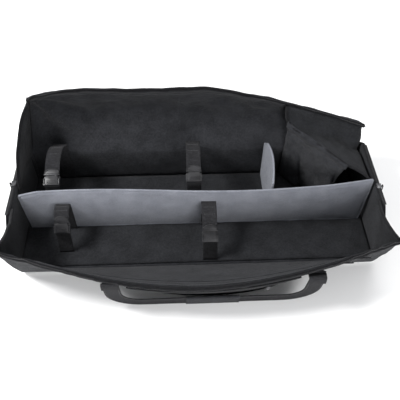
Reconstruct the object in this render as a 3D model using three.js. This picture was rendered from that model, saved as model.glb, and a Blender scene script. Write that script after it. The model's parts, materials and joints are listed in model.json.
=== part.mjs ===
// Carry case for a telescope tube and its tripod, shown unzipped and open.
//
// A long padded case of woven fabric. The front wall has fallen outward and the back half stands up as a
// hood. A padded divider parts a tube compartment (behind) from a tripod compartment (in front), a cross
// divider makes an accessory compartment at the right, and four buckled straps hold the load.
// Millimetres. +X is the case's right, +Y its back, +Z up. The origin is the middle of the underside.

import * as THREE from 'three';
import { mergeVertices } from 'three/addons/utils/BufferGeometryUtils.js';

// ---- driving dimensions ------------------------------------------------------------------------

const GAP = 0.3; // between pieces that touch
const facetGap = 1.3; // between pieces that lie on each other along a curved face
const baseLength = 908;
const baseDepth = 316;
const baseThickness = 8;
const padThickness = 5.7;
const baseCorner = 24;
const wallThickness = 12;
const floorTop = baseThickness + GAP + padThickness;
const frontEdge = -baseDepth / 2;
const backEdge = baseDepth / 2;

const endPanelOuter = baseLength / 2;
const endPanelInner = endPanelOuter - wallThickness;
const zipLevel = 152; // height of the end panels, where both halves of the zip end
const backWallTop = 118;
const frontInset = 8;
const backInset = 4;
const endShoulder = { front: -100, back: 112 };

const dividerY = -28;
const dividerThickness = 12;
const dividerTop = 150;
const dividerHalfLength = 430;
const crossDividerX = 190;
const crossDividerThickness = 8;

// the hood: a curved panel that turns about the top of the back wall
const hoodHalfLength = 438;
const hoodTaper = { left: 26, right: 8 };
const hoodThickness = 8;
const hoodFoot = { y: backEdge, z: 122 };
const hoodBelly = { y: 240, z: 210 };
const hoodEdge = { y: 165, z: 300 };
const droopStart = 20; // right of here the hood's edge sinks forward
const droopPower = 1.3;
const droop = { bellyY: -42, bellyZ: -46, edgeY: -45, edgeZ: -95 };
const leftCornerStart = -330;
const leftCornerDrop = 24;
const gussetThickness = 6;
const gussetGap = 0.8;
const hoodGussetStart = 0.15; // share of the hood's height, clear of the back wall when the hood is down
const hoodGussetDepth = { foot: 20, bulge: 40, edge: 30 };

// the front flap: the whole front wall, which leans outward and slumps in the middle
const flapHalfLength = 438;
const flapThickness = 8;
const flapFoot = { y: frontEdge - 1, z: 14 };
const flapEndBelly = { y: -196, z: 100 };
const flapEndRim = { y: -227, z: 192 };
const flapMidBelly = { y: -222, z: 75 };
const flapMidRim = { y: -290, z: 125 };
const flapGussetStart = 0.3;
const flapGussetDepth = 25;

const zipSpan = [1.004, 1.075]; // shares of a panel's height
const zipThickness = 4;
const endTapeWidth = 10;
const endTapeThickness = 2.5;

const webbingWidth = 38;
const webbingThickness = 2.5;
const handleCentre = 30;
const handleHalfSpan = 226;
const pocketHalfLength = 190;

// ---- solids ------------------------------------------------------------------------------------

const material = (color, roughness = 0.9, metalness = 0) =>
  new THREE.MeshStandardMaterial({ color, roughness, metalness });

const fabric = material(0x1d1f23);
const lining = material(0x8f929c, 0.7);
const webbing = material(0x17181b);
const plastic = material(0x101114, 0.45);
const zipper = material(0x141518, 0.6);
const steel = material(0xb9bbc0, 0.3, 1);

function piece(name, geometry, finish) {
  const mesh = new THREE.Mesh(geometry, finish);
  mesh.name = name;
  return mesh;
}

// A geometry from points and triangles, with its faces turned outward.
function closedSolid(points, triangles) {
  let volume = 0;
  for (const [a, b, c] of triangles) {
    volume += points[a].dot(new THREE.Vector3().crossVectors(points[b], points[c]));
  }
  const turned = volume > 0 ? triangles : triangles.map(([a, b, c]) => [a, c, b]);
  const geometry = new THREE.BufferGeometry();
  geometry.setAttribute('position', new THREE.Float32BufferAttribute(points.flatMap((p) => p.toArray()), 3));
  geometry.setIndex(turned.flat());
  return geometry;
}

// The closed solid between two sheets, each a function of u and v from 0 to 1.
function betweenSheets(near, far, columns, rows) {
  const points = [];
  for (const sheet of [near, far]) {
    for (let j = 0; j <= rows; j++) {
      for (let i = 0; i <= columns; i++) {
        points.push(sheet(i / columns, j / rows));
      }
    }
  }
  const side = (columns + 1) * (rows + 1);
  const at = (i, j) => j * (columns + 1) + i;
  const triangles = [];
  const quad = (a, b, c, d) => triangles.push([a, b, c], [a, c, d]);
  for (let j = 0; j < rows; j++) {
    for (let i = 0; i < columns; i++) {
      const [a, b, c, d] = [at(i, j), at(i + 1, j), at(i + 1, j + 1), at(i, j + 1)];
      quad(a, b, c, d);
      quad(side + d, side + c, side + b, side + a);
    }
  }
  for (let i = 0; i < columns; i++) {
    quad(at(i + 1, 0), at(i, 0), side + at(i, 0), side + at(i + 1, 0));
    quad(at(i, rows), at(i + 1, rows), side + at(i + 1, rows), side + at(i, rows));
  }
  for (let j = 0; j < rows; j++) {
    quad(at(0, j), at(0, j + 1), side + at(0, j + 1), side + at(0, j));
    quad(at(columns, j + 1), at(columns, j), side + at(columns, j), side + at(columns, j + 1));
  }
  return closedSolid(points, triangles);
}

// A sheet moved along its own normal. side is 1 or -1.
function offsetSheet(sheet, distance, side = 1) {
  const step = 0.01;
  return (u, v) => {
    const point = sheet(u, v);
    const du = sheet(Math.min(u + step, 1), v).sub(sheet(Math.max(u - step, 0), v));
    const dv = sheet(u, Math.min(v + step, 1)).sub(sheet(u, Math.max(v - step, 0)));
    const normal = du.cross(dv).normalize();
    return point.addScaledVector(normal, side * distance);
  };
}

const curve = (foot, belly, edge, t) => ({
  y: (1 - t) ** 2 * foot.y + 2 * t * (1 - t) * belly.y + t * t * edge.y,
  z: (1 - t) ** 2 * foot.z + 2 * t * (1 - t) * belly.z + t * t * edge.z,
});

const mix = (a, b, t) => ({ y: a.y + (b.y - a.y) * t, z: a.z + (b.z - a.z) * t });

// An outline of [y, z] points pushed along X.
function alongX(outline, from, to) {
  const shape = new THREE.Shape(outline.map(([y, z]) => new THREE.Vector2(y, z)));
  const geometry = new THREE.ExtrudeGeometry(shape, { depth: to - from, bevelEnabled: false, steps: 1 });
  const turn = new THREE.Matrix4().makeBasis(
    new THREE.Vector3(0, 1, 0),
    new THREE.Vector3(0, 0, 1),
    new THREE.Vector3(1, 0, 0),
  );
  return weld(geometry.applyMatrix4(turn).translate(from, 0, 0));
}

function weld(geometry) {
  geometry.deleteAttribute('normal');
  geometry.deleteAttribute('uv');
  return mergeVertices(geometry, 1e-4);
}

const box = ([x0, x1], [y0, y1], [z0, z1]) => alongX([[y0, z0], [y1, z0], [y1, z1], [y0, z1]], x0, x1);

// The outline of a ribbon of even thickness along a line of [y, z] points.
function ribbonOutline(line, thickness) {
  const half = thickness / 2;
  const normals = line.map((_, i) => {
    const before = line[Math.max(i - 1, 0)];
    const after = line[Math.min(i + 1, line.length - 1)];
    const [dy, dz] = [after[0] - before[0], after[1] - before[1]];
    const length = Math.hypot(dy, dz);
    return [-dz / length, dy / length];
  });
  const side = (sign) => line.map(([y, z], i) => [y + sign * half * normals[i][0], z + sign * half * normals[i][1]]);
  return [...side(1), ...side(-1).reverse()];
}

// ---- shell: floor, walls and dividers ----------------------------------------------------------

function roundedPlate(length, depth, corner, z0, z1) {
  const [x, y] = [length / 2, depth / 2];
  const shape = new THREE.Shape();
  shape.moveTo(-x + corner, -y);
  shape.lineTo(x - corner, -y);
  shape.absarc(x - corner, -y + corner, corner, -Math.PI / 2, 0);
  shape.absarc(x - corner, y - corner, corner, 0, Math.PI / 2);
  shape.absarc(-x + corner, y - corner, corner, Math.PI / 2, Math.PI);
  shape.absarc(-x + corner, -y + corner, corner, Math.PI, 1.5 * Math.PI);
  const options = { depth: z1 - z0, bevelEnabled: false, curveSegments: 4 };
  return weld(new THREE.ExtrudeGeometry(shape, options).translate(0, 0, z0));
}

function floor() {
  const padInset = wallThickness + 2;
  return [
    piece('bottom_panel', roundedPlate(baseLength, baseDepth, baseCorner, 0, baseThickness), fabric),
    piece('floor_pad', box(
      [-endPanelOuter + padInset, endPanelOuter - padInset],
      [frontEdge + frontInset, backEdge - padInset],
      [baseThickness + GAP, floorTop],
    ), lining),
  ];
}

function endPanel(name, side) {
  const foot = baseThickness + GAP;
  const [front, back] = [frontEdge + frontInset, backEdge - backInset];
  const outline = [
    [front, foot],
    [back, foot],
    [back, backWallTop],
    [endShoulder.back, zipLevel],
    [endShoulder.front, zipLevel],
    [front + 12, 112],
    [front, 60],
  ];
  const [near, far] = [side * endPanelInner, side * endPanelOuter];
  return piece(name, alongX(outline, Math.min(near, far), Math.max(near, far)), fabric);
}

function walls() {
  const insideEnds = endPanelInner - 2;
  return [
    piece('back_wall', box(
      [-insideEnds, insideEnds],
      [backEdge - wallThickness, backEdge],
      [baseThickness + GAP, backWallTop],
    ), fabric),
    endPanel('left_end_panel', -1),
    endPanel('right_end_panel', 1),
  ];
}

function dividers() {
  const foot = floorTop + GAP;
  const behind = dividerY + dividerThickness / 2;
  const cross = [
    [behind + 0.5, foot],
    [backEdge - wallThickness - 4, foot],
    [backEdge - wallThickness - 4, 112],
    [118, dividerTop - 2],
    [behind + 0.5, dividerTop - 2],
  ];
  const halfCross = crossDividerThickness / 2;
  return [
    piece('main_divider', box(
      [-dividerHalfLength, dividerHalfLength],
      [dividerY - dividerThickness / 2, behind],
      [foot, dividerTop],
    ), lining),
    piece('cross_divider', alongX(cross, crossDividerX - halfCross, crossDividerX + halfCross), lining),
  ];
}

// ---- hood --------------------------------------------------------------------------------------

// The hood's inner face at the length x and height t, where t is 0 at the foot and 1 at the free edge.
function hoodProfile(x, t) {
  const sink = (Math.max(0, x - droopStart) / (hoodHalfLength - droopStart)) ** droopPower;
  const corner = Math.max(0, leftCornerStart - x) / (leftCornerStart + hoodHalfLength);
  const belly = { y: hoodBelly.y + droop.bellyY * sink, z: hoodBelly.z + droop.bellyZ * sink };
  const edge = {
    y: hoodEdge.y + droop.edgeY * sink,
    z: hoodEdge.z + droop.edgeZ * sink - leftCornerDrop * corner ** 2,
  };
  return curve(hoodFoot, belly, edge, t);
}

// Half the hood's length at the height t, on the side where x has this sign.
const hoodReach = (t, side) => hoodHalfLength - (side > 0 ? hoodTaper.right : hoodTaper.left) * t * t;

function hoodSheet(from, to) {
  return (u, v) => {
    const t = from + (to - from) * v;
    const x = (2 * u - 1) * hoodReach(t, 2 * u - 1);
    const { y, z } = hoodProfile((2 * u - 1) * hoodHalfLength, t);
    return new THREE.Vector3(x, y, z);
  };
}

function hoodGusset(name, side) {
  const { foot, bulge, edge } = hoodGussetDepth;
  const sheet = (inset) => (u, v) => {
    const t = THREE.MathUtils.lerp(hoodGussetStart, 1, v);
    const depth = foot + bulge * Math.sin(Math.PI * t) + (edge - foot) * t;
    const { y, z } = hoodProfile(side * hoodHalfLength, t);
    return new THREE.Vector3(side * (hoodReach(t, side) - inset), y - gussetGap - u * depth, z);
  };
  return piece(name, betweenSheets(sheet(0), sheet(gussetThickness), 2, 6), fabric);
}

function hood() {
  const panel = hoodSheet(0, 1);
  const tape = hoodSheet(...zipSpan);
  return [
    piece('hood_panel', betweenSheets(panel, offsetSheet(panel, hoodThickness, -1), 24, 8), fabric),
    hoodGusset('hood_left_gusset', -1),
    hoodGusset('hood_right_gusset', 1),
    piece('zip_tape_hood', betweenSheets(tape, offsetSheet(tape, zipThickness, -1), 24, 1), zipper),
  ];
}

// ---- front flap --------------------------------------------------------------------------------

// The flap's inner face. Its rim is highest at the ends and slumps outward between them.
function flapProfile(x, t) {
  const slump = Math.sin((Math.PI * (x + flapHalfLength + 2)) / (2 * flapHalfLength + 4));
  return curve(flapFoot, mix(flapEndBelly, flapMidBelly, slump), mix(flapEndRim, flapMidRim, slump), t);
}

function flapSheet([x0, x1], [t0, t1]) {
  return (u, v) => {
    const x = x0 + (x1 - x0) * u;
    const { y, z } = flapProfile(x, t0 + (t1 - t0) * v);
    return new THREE.Vector3(x, y, z);
  };
}

function flapGusset(name, side) {
  const sheet = (inset) => (u, v) => {
    const x = side * (flapHalfLength - inset);
    const { y, z } = flapProfile(x, THREE.MathUtils.lerp(flapGussetStart, 1, v));
    return new THREE.Vector3(x, y + gussetGap + flapGussetDepth * u, z);
  };
  return piece(name, betweenSheets(sheet(0), sheet(gussetThickness), 2, 4), fabric);
}

// A strip of webbing on the flap's outer face.
function flapStrip(name, x, width, span, rows) {
  const sheet = flapSheet([x - width / 2, x + width / 2], span);
  const inner = offsetSheet(sheet, flapThickness + facetGap);
  const outer = offsetSheet(sheet, flapThickness + facetGap + webbingThickness);
  return piece(name, betweenSheets(inner, outer, 3, rows), webbing);
}

function flap() {
  const panel = flapSheet([-flapHalfLength, flapHalfLength], [0, 1]);
  const tape = flapSheet([-flapHalfLength, flapHalfLength], zipSpan);
  const bandSpan = [0.1, 0.97];
  const tabSpan = [0.9, 0.99];
  return [
    piece('front_flap_panel', betweenSheets(panel, offsetSheet(panel, flapThickness), 24, 6), fabric),
    flapGusset('flap_left_gusset', -1),
    flapGusset('flap_right_gusset', 1),
    piece('zip_tape_flap', betweenSheets(tape, offsetSheet(tape, zipThickness), 24, 1), zipper),
    flapStrip('handle_band_front_left', handleCentre - handleHalfSpan, webbingWidth, bandSpan, 4),
    flapStrip('handle_band_front_right', handleCentre + handleHalfSpan, webbingWidth, bandSpan, 4),
    flapStrip('rim_tab_left', 322, 24, tabSpan, 1),
    flapStrip('rim_tab_right', 356, 30, tabSpan, 1),
  ];
}

// ---- front pocket ------------------------------------------------------------------------------

const pocketSpan = [handleCentre - pocketHalfLength, handleCentre + pocketHalfLength];
const pocketHeight = [0.1, 0.93];
const pocketBulge = 64;
const pocketSag = 13;

// The pocket's outer face: fullest low down, closing on the flap at the top and at both ends.
function pocketFace(u, v) {
  const back = offsetSheet(flapSheet(pocketSpan, pocketHeight), flapThickness + facetGap)(u, v);
  const full = Math.sin(Math.PI * Math.min(Math.max(u, 0.02), 0.98)) ** 0.3;
  const low = 1 - v;
  back.y -= 4 + pocketBulge * full * (0.04 + 0.96 * low);
  back.z -= pocketSag * full * low;
  return back;
}

const sliderX = 150;
const pocketZipV = 0.86;

function pocket() {
  const back = offsetSheet(flapSheet(pocketSpan, pocketHeight), flapThickness + facetGap);
  const zipFace = (u, v) => pocketFace(0.1 + 0.8 * u, pocketZipV - 0.05 + 0.1 * v);
  const [near, far] = [offsetSheet(zipFace, facetGap), offsetSheet(zipFace, facetGap + 2)];
  return [
    piece('front_pocket', betweenSheets(back, pocketFace, 16, 8), fabric),
    piece('pocket_zip', betweenSheets(near, far, 16, 1), zipper),
  ];
}

// A slider and its pull, on the pocket's zip.
function pocketSlider() {
  const share = (sliderX - pocketSpan[0]) / (pocketSpan[1] - pocketSpan[0]);
  const seat = offsetSheet(pocketFace, facetGap + 5)(share, pocketZipV);
  const up = pocketFace(share, pocketZipV + 0.04).sub(pocketFace(share, pocketZipV - 0.04)).normalize();
  const along = new THREE.Vector3(1, 0, 0);
  const out = new THREE.Vector3().crossVectors(along, up);
  const place = new THREE.Matrix4().makeBasis(along, up, out).setPosition(seat);
  const body = weld(new THREE.BoxGeometry(12, 8, 3).applyMatrix4(place));
  const pullShape = new THREE.Shape();
  pullShape.moveTo(-3, 0);
  pullShape.lineTo(-4, -24);
  pullShape.absarc(0, -24, 4, Math.PI, 2 * Math.PI);
  pullShape.lineTo(3, 0);
  const pull = new THREE.ExtrudeGeometry(pullShape, { depth: 1.5, bevelEnabled: false, curveSegments: 6 });
  const hang = new THREE.Matrix4().makeTranslation(0, 0, 1.9);
  return [
    piece('pocket_slider', body, steel),
    piece('pocket_pull', weld(pull.applyMatrix4(hang).applyMatrix4(place)), steel),
  ];
}

// ---- zip ends, sliders and pulls ---------------------------------------------------------------

const endTapeSpan = [-96, 106];
const mainSlider = { width: 11, length: 14, height: 4.7, left: 0, right: -40 };
const mainPull = { above: 6, below: 26, thickness: 2, topWidth: 6, bottomWidth: 8 };

function zipEnd(side, word) {
  const x = side * (endPanelOuter - wallThickness / 2);
  const tapeTop = zipLevel + GAP + endTapeThickness;
  const y = mainSlider[word];
  const [halfWidth, halfLength] = [mainSlider.width / 2, mainSlider.length / 2];
  const sliderFoot = tapeTop + GAP;
  const pullX = side * (endPanelOuter + 3);
  const [top, bottom] = [zipLevel + mainPull.above, zipLevel - mainPull.below];
  const pullOutline = [
    [y - mainPull.topWidth / 2, top],
    [y - mainPull.bottomWidth / 2, bottom],
    [y + mainPull.bottomWidth / 2, bottom],
    [y + mainPull.topWidth / 2, top],
  ];
  return [
    piece(`zip_tape_${word}_end`, box(
      [x - endTapeWidth / 2, x + endTapeWidth / 2],
      endTapeSpan,
      [zipLevel + GAP, tapeTop],
    ), zipper),
    piece(`zip_slider_${word}`, box(
      [x - halfWidth, x + halfWidth],
      [y - halfLength, y + halfLength],
      [sliderFoot, sliderFoot + mainSlider.height],
    ), steel),
    piece(`zip_pull_${word}`, alongX(
      pullOutline,
      pullX - mainPull.thickness / 2,
      pullX + mainPull.thickness / 2,
    ), webbing),
  ];
}

// ---- handles -----------------------------------------------------------------------------------

// A webbing loop in a plane: legs down from both ends and a grip between them, with round corners.
function handleLoop(name, top, bottom, outward) {
  const drop = Math.hypot(bottom.y - top.y, bottom.z - top.z);
  const corner = 46;
  const loop = (inset) => {
    const [x, d, r] = [handleHalfSpan + webbingWidth / 2 - inset, drop - inset, corner - inset];
    const shape = new THREE.Path();
    shape.moveTo(-x, 0);
    shape.lineTo(-x, -d + r);
    shape.absarc(-x + r, -d + r, r, Math.PI, 1.5 * Math.PI);
    shape.lineTo(x - r, -d);
    shape.absarc(x - r, -d + r, r, 1.5 * Math.PI, 2 * Math.PI);
    shape.lineTo(x, 0);
    return shape.getPoints(6);
  };
  const outline = [...loop(0), ...loop(webbingWidth).reverse()];
  const geometry = new THREE.ExtrudeGeometry(new THREE.Shape(outline), { depth: webbingThickness, bevelEnabled: false });
  const up = new THREE.Vector3(0, top.y - bottom.y, top.z - bottom.z).normalize();
  const along = new THREE.Vector3(outward, 0, 0);
  const out = new THREE.Vector3().crossVectors(along, up);
  const place = new THREE.Matrix4().makeBasis(along, up, out).setPosition(handleCentre, top.y, top.z);
  return piece(name, weld(geometry.applyMatrix4(place)), webbing);
}

const frontHandleTop = { y: -285, z: 137 };
const frontHandleBottom = { y: -259, z: 3.5 };
const backHandleTop = { y: backEdge + 6, z: 108 };
const backHandleBottom = { y: backEdge + 6.5, z: 4 };

function handles() {
  const band = (name, x) => piece(name, box(
    [x - webbingWidth / 2, x + webbingWidth / 2],
    [backEdge + GAP, backEdge + GAP + webbingThickness],
    [baseThickness, backWallTop - 2],
  ), webbing);
  return [
    handleLoop('handle_front', frontHandleTop, frontHandleBottom, 1),
    handleLoop('handle_back', backHandleTop, backHandleBottom, -1),
    band('handle_band_back_left', handleCentre - handleHalfSpan),
    band('handle_band_back_right', handleCentre + handleHalfSpan),
  ];
}

// ---- straps ------------------------------------------------------------------------------------

const buckle = { tongue: 17, body: 13, socket: 25, halfWidth: 20, rail: 4, thickness: 4 };

// The buckle's frame at a place on the strap: along points down the strap to the socket, out away from the load.
function buckleFrame(x, [y, z], [dy, dz]) {
  const along = new THREE.Vector3(0, dy, dz).normalize();
  const across = new THREE.Vector3(-1, 0, 0);
  const out = new THREE.Vector3().crossVectors(across, along);
  return new THREE.Matrix4().makeBasis(across, along, out).setPosition(x, y, z);
}

function buckleTongue(frame) {
  const { tongue, body, halfWidth, thickness } = buckle;
  const shape = new THREE.Shape([
    [-halfWidth + 1, -body], [halfWidth - 1, -body], [halfWidth - 1, 0], [13, 0], [14, 12], [9, tongue],
    [7, tongue], [7, 4], [-7, 4], [-7, tongue], [-9, tongue], [-14, 12], [-13, 0], [-halfWidth + 1, 0],
  ].map(([u, v]) => new THREE.Vector2(u, v)));
  const solid = new THREE.ExtrudeGeometry(shape, { depth: thickness, bevelEnabled: false });
  return weld(solid.translate(0, 0, -1).applyMatrix4(frame));
}

function buckleSocket(frame) {
  const { socket, halfWidth, rail } = buckle;
  const channel = new THREE.Shape([
    [-halfWidth, -4.5], [halfWidth, -4.5], [halfWidth, 4], [halfWidth - rail, 4], [halfWidth - rail, -1.6],
    [-halfWidth + rail, -1.6], [-halfWidth + rail, 4], [-halfWidth, 4],
  ].map(([u, w]) => new THREE.Vector2(u, w)));
  const solid = new THREE.ExtrudeGeometry(channel, { depth: socket, bevelEnabled: false });
  const lay = new THREE.Matrix4().makeBasis(
    new THREE.Vector3(-1, 0, 0),
    new THREE.Vector3(0, 0, 1),
    new THREE.Vector3(0, 1, 0),
  );
  return weld(solid.applyMatrix4(lay).translate(0, 0.8, 0).applyMatrix4(frame));
}

const lerpPoint = (a, b, t) => [a[0] + (b[0] - a[0]) * t, a[1] + (b[1] - a[1]) * t];

// One strap: sewn lower webbing, an upper webbing that lifts, a buckle tongue on it and a socket on the tail.
// over is the line of the upper webbing, and the tail runs from the socket down to foot.
function strap(name, x, anchor, over, foot) {
  const half = webbingWidth / 2;
  const last = over[over.length - 1];
  const before = over[over.length - 2];
  const direction = [last[0] - before[0], last[1] - before[1]];
  const length = Math.hypot(...direction);
  const ahead = (distance) => [
    last[0] + (direction[0] / length) * distance,
    last[1] + (direction[1] / length) * distance,
  ];
  const frame = buckleFrame(x, ahead(buckle.body + 0.6), direction);
  const tailStart = ahead(buckle.body + buckle.socket + 4);
  const tail = [tailStart, lerpPoint(tailStart, foot, 0.5), foot];
  return [
    piece(`${name}_anchor`, box([x - half, x + half], anchor.y, anchor.z), webbing),
    piece(`${name}_webbing`, alongX(ribbonOutline(over, webbingThickness), x - half, x + half), webbing),
    piece(`${name}_buckle_tongue`, buckleTongue(frame), plastic),
    piece(`${name}_buckle_socket`, buckleSocket(frame), plastic),
    piece(`${name}_tail`, alongX(ribbonOutline(tail, webbingThickness), x - half, x + half), webbing),
  ];
}

const tube = { y: 66, z: 97, r: 84 };
const onTube = (degrees) => {
  const angle = THREE.MathUtils.degToRad(degrees);
  return [tube.y + tube.r * Math.cos(angle), tube.z + tube.r * Math.sin(angle)];
};

function tubeStrap(name, x) {
  const over = [[138, 150]];
  for (let angle = 38; angle <= 118; angle += 10) {
    over.push(onTube(angle));
  }
  const anchor = { y: [backEdge - wallThickness - 3, backEdge - wallThickness - 0.5], z: [floorTop + GAP, 146] };
  return strap(name, x, anchor, over, [dividerY + 11, floorTop + 1.5]);
}

function tripodStrap(name, x, line, foot) {
  const over = new THREE.SplineCurve(line.map(([y, z]) => new THREE.Vector2(y, z))).getPoints(10)
    .map((p) => [p.x, p.y]);
  const anchor = { y: [dividerY - 9.3, dividerY - 6.8], z: [floorTop + GAP, 112] };
  return strap(name, x, anchor, over, foot);
}

function straps() {
  return [
    ...tubeStrap('tube_strap_left', -355),
    ...tubeStrap('tube_strap_right', -5),
    ...tripodStrap('tripod_strap_left', -331, [[-39, 116], [-52, 121], [-66, 119], [-74, 111]], [-110, floorTop + 1.5]),
    ...tripodStrap('tripod_strap_right', 30, [[-39, 116], [-64, 120], [-92, 113], [-106, 102]], [-146, floorTop + 1.5]),
  ];
}

// ---- the case ----------------------------------------------------------------------------------

const carryCase = new THREE.Group();
carryCase.add(
  ...floor(),
  ...walls(),
  ...dividers(),
  ...hood(),
  ...flap(),
  ...pocket(),
  ...pocketSlider(),
  ...zipEnd(-1, 'left'),
  ...zipEnd(1, 'right'),
  ...handles(),
  ...straps(),
);

export default carryCase;
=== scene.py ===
"""Looks of a padded telescope carry case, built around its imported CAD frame.

Lengths are millimetres until a mesh is made, and +X is the case's right, +Y its back, +Z up.
Each fabric panel is a sheet function of two shares, thickened into a closed padded slab.
"""

import json
import math

import bmesh
import bpy
import numpy as np
from mathutils import Matrix, Vector, kdtree, noise

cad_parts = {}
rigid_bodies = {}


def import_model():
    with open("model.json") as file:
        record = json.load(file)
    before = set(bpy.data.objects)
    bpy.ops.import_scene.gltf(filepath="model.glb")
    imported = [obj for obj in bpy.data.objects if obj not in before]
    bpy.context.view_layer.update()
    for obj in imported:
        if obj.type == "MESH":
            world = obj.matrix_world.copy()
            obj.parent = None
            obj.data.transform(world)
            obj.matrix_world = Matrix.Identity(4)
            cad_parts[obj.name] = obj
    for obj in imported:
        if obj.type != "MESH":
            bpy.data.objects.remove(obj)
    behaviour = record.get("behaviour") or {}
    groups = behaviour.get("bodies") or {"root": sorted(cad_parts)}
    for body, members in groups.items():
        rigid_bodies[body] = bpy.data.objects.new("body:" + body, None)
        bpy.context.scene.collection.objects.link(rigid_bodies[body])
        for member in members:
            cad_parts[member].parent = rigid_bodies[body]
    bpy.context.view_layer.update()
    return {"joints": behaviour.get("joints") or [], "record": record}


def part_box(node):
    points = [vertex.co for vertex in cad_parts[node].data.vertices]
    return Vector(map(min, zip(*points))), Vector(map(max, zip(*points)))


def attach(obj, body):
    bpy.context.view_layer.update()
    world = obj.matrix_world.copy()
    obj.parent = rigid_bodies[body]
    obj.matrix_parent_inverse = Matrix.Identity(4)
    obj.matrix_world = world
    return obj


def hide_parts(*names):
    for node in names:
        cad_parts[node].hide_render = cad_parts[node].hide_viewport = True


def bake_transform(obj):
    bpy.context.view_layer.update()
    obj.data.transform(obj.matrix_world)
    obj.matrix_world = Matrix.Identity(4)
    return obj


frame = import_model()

MM = 0.001
BODIES = frame["record"]["behaviour"]["bodies"]
BODY_OF = {node: body for body, nodes in BODIES.items() for node in nodes}


def node_box(node):
    """Lowest and highest corners of a CAD node, in millimetres."""
    low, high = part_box(node)
    return np.array(low) / MM, np.array(high) / MM


# ---- driving dimensions --------------------------------------------------------------------------

base_low, base_high = node_box("bottom_panel")
wall_low, wall_high = node_box("back_wall")
end_low, end_high = node_box("right_end_panel")
divider_low, divider_high = node_box("main_divider")
cross_low, cross_high = node_box("cross_divider")
floor_low, floor_high = node_box("floor_pad")

PAD = 8.0  # padded fabric
BASE_CORNER = 24.0
END_TOP = end_high[2]
END_OUTLINE_Y = [-150, -138, -100, 112, 154]
END_OUTLINE_Z = [60, 112, END_TOP, END_TOP, 118]

HOOD_HALF = 438.0
HOOD_TAPER_LEFT, HOOD_TAPER_RIGHT = 26.0, 3.0
HOOD_FOOT = (158.0, 122.0)
HOOD_BELLY = (240.0, 210.0)
HOOD_EDGE = (165.0, 300.0)
DROOP_START = 20.0
DROOP_POWER = 1.3
DROOP_BELLY = (-42.0, -46.0)
DROOP_EDGE = (-45.0, -95.0)
LEFT_CORNER_START = -330.0
LEFT_CORNER_DROP = 24.0

FLAP_HALF = 438.0
FLAP_FOOT = (-159.0, 14.0)
FLAP_END_BELLY = (-196.0, 100.0)
FLAP_END_RIM = (-227.0, 192.0)
FLAP_MID_BELLY = (-222.0, 75.0)
FLAP_MID_RIM = (-290.0, 125.0)

WEBBING_WIDTH = 38.0
WEBBING_THICKNESS = 2.5
HANDLE_CENTRE = 30.0
HANDLE_HALF = 226.0
HANDLE_TURN = 62.0
HANDLE_X = (HANDLE_CENTRE - HANDLE_HALF, HANDLE_CENTRE + HANDLE_HALF)
FRONT_HANDLE = ((-285.0, 137.0), (-259.0, 3.5))  # y and z of its roots and of its grip
BACK_HANDLE = ((164.0, 108.0), (164.5, 4.0))
RIM_TABS = (("left", 322, 24), ("right", 356, 30))  # x and width
POCKET_SPAN = (-160.0, 220.0)
POCKET_HEIGHT = (0.1, 0.93)
POCKET_BULGE = 60.0
POCKET_SAG = 12.0
SURFACE_GAP = 1.3
TOOTH_PITCH = 2.4
LONG_STITCH = (3.2, 4.6)  # length, pitch
SHORT_STITCH = (2.6, 3.8, 0.5)  # length, pitch, radius
CORNER_OVERLAP = 4.5
CORNER_PIPING = 5.5
SEAM_PIPING = 4.5
SEWN_REACH = 55.0
GUSSET_THICKNESS = 4.5
ZIP_REACH = (6.0, 11.0)  # tape and teeth, beyond a bound edge
GUSSET_ZIP_REACH = (5.0, 10.0)
HOOD_CORNER = (-425.0, 285.0)  # x and z where the creases start
PULL_HALF = 2.6

HOOD_FOLD = ((0, 0.158, 0.112), (0, 0.169, 0.161))
FLAP_FOLD = ((0, -0.159, 0.014), (0, -0.1803, 0.0193))
FLAP_GUSSET_FOLD = ((0, -0.145, 0.08), (0, -0.182, 0.08))


# ---- materials -----------------------------------------------------------------------------------


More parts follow.
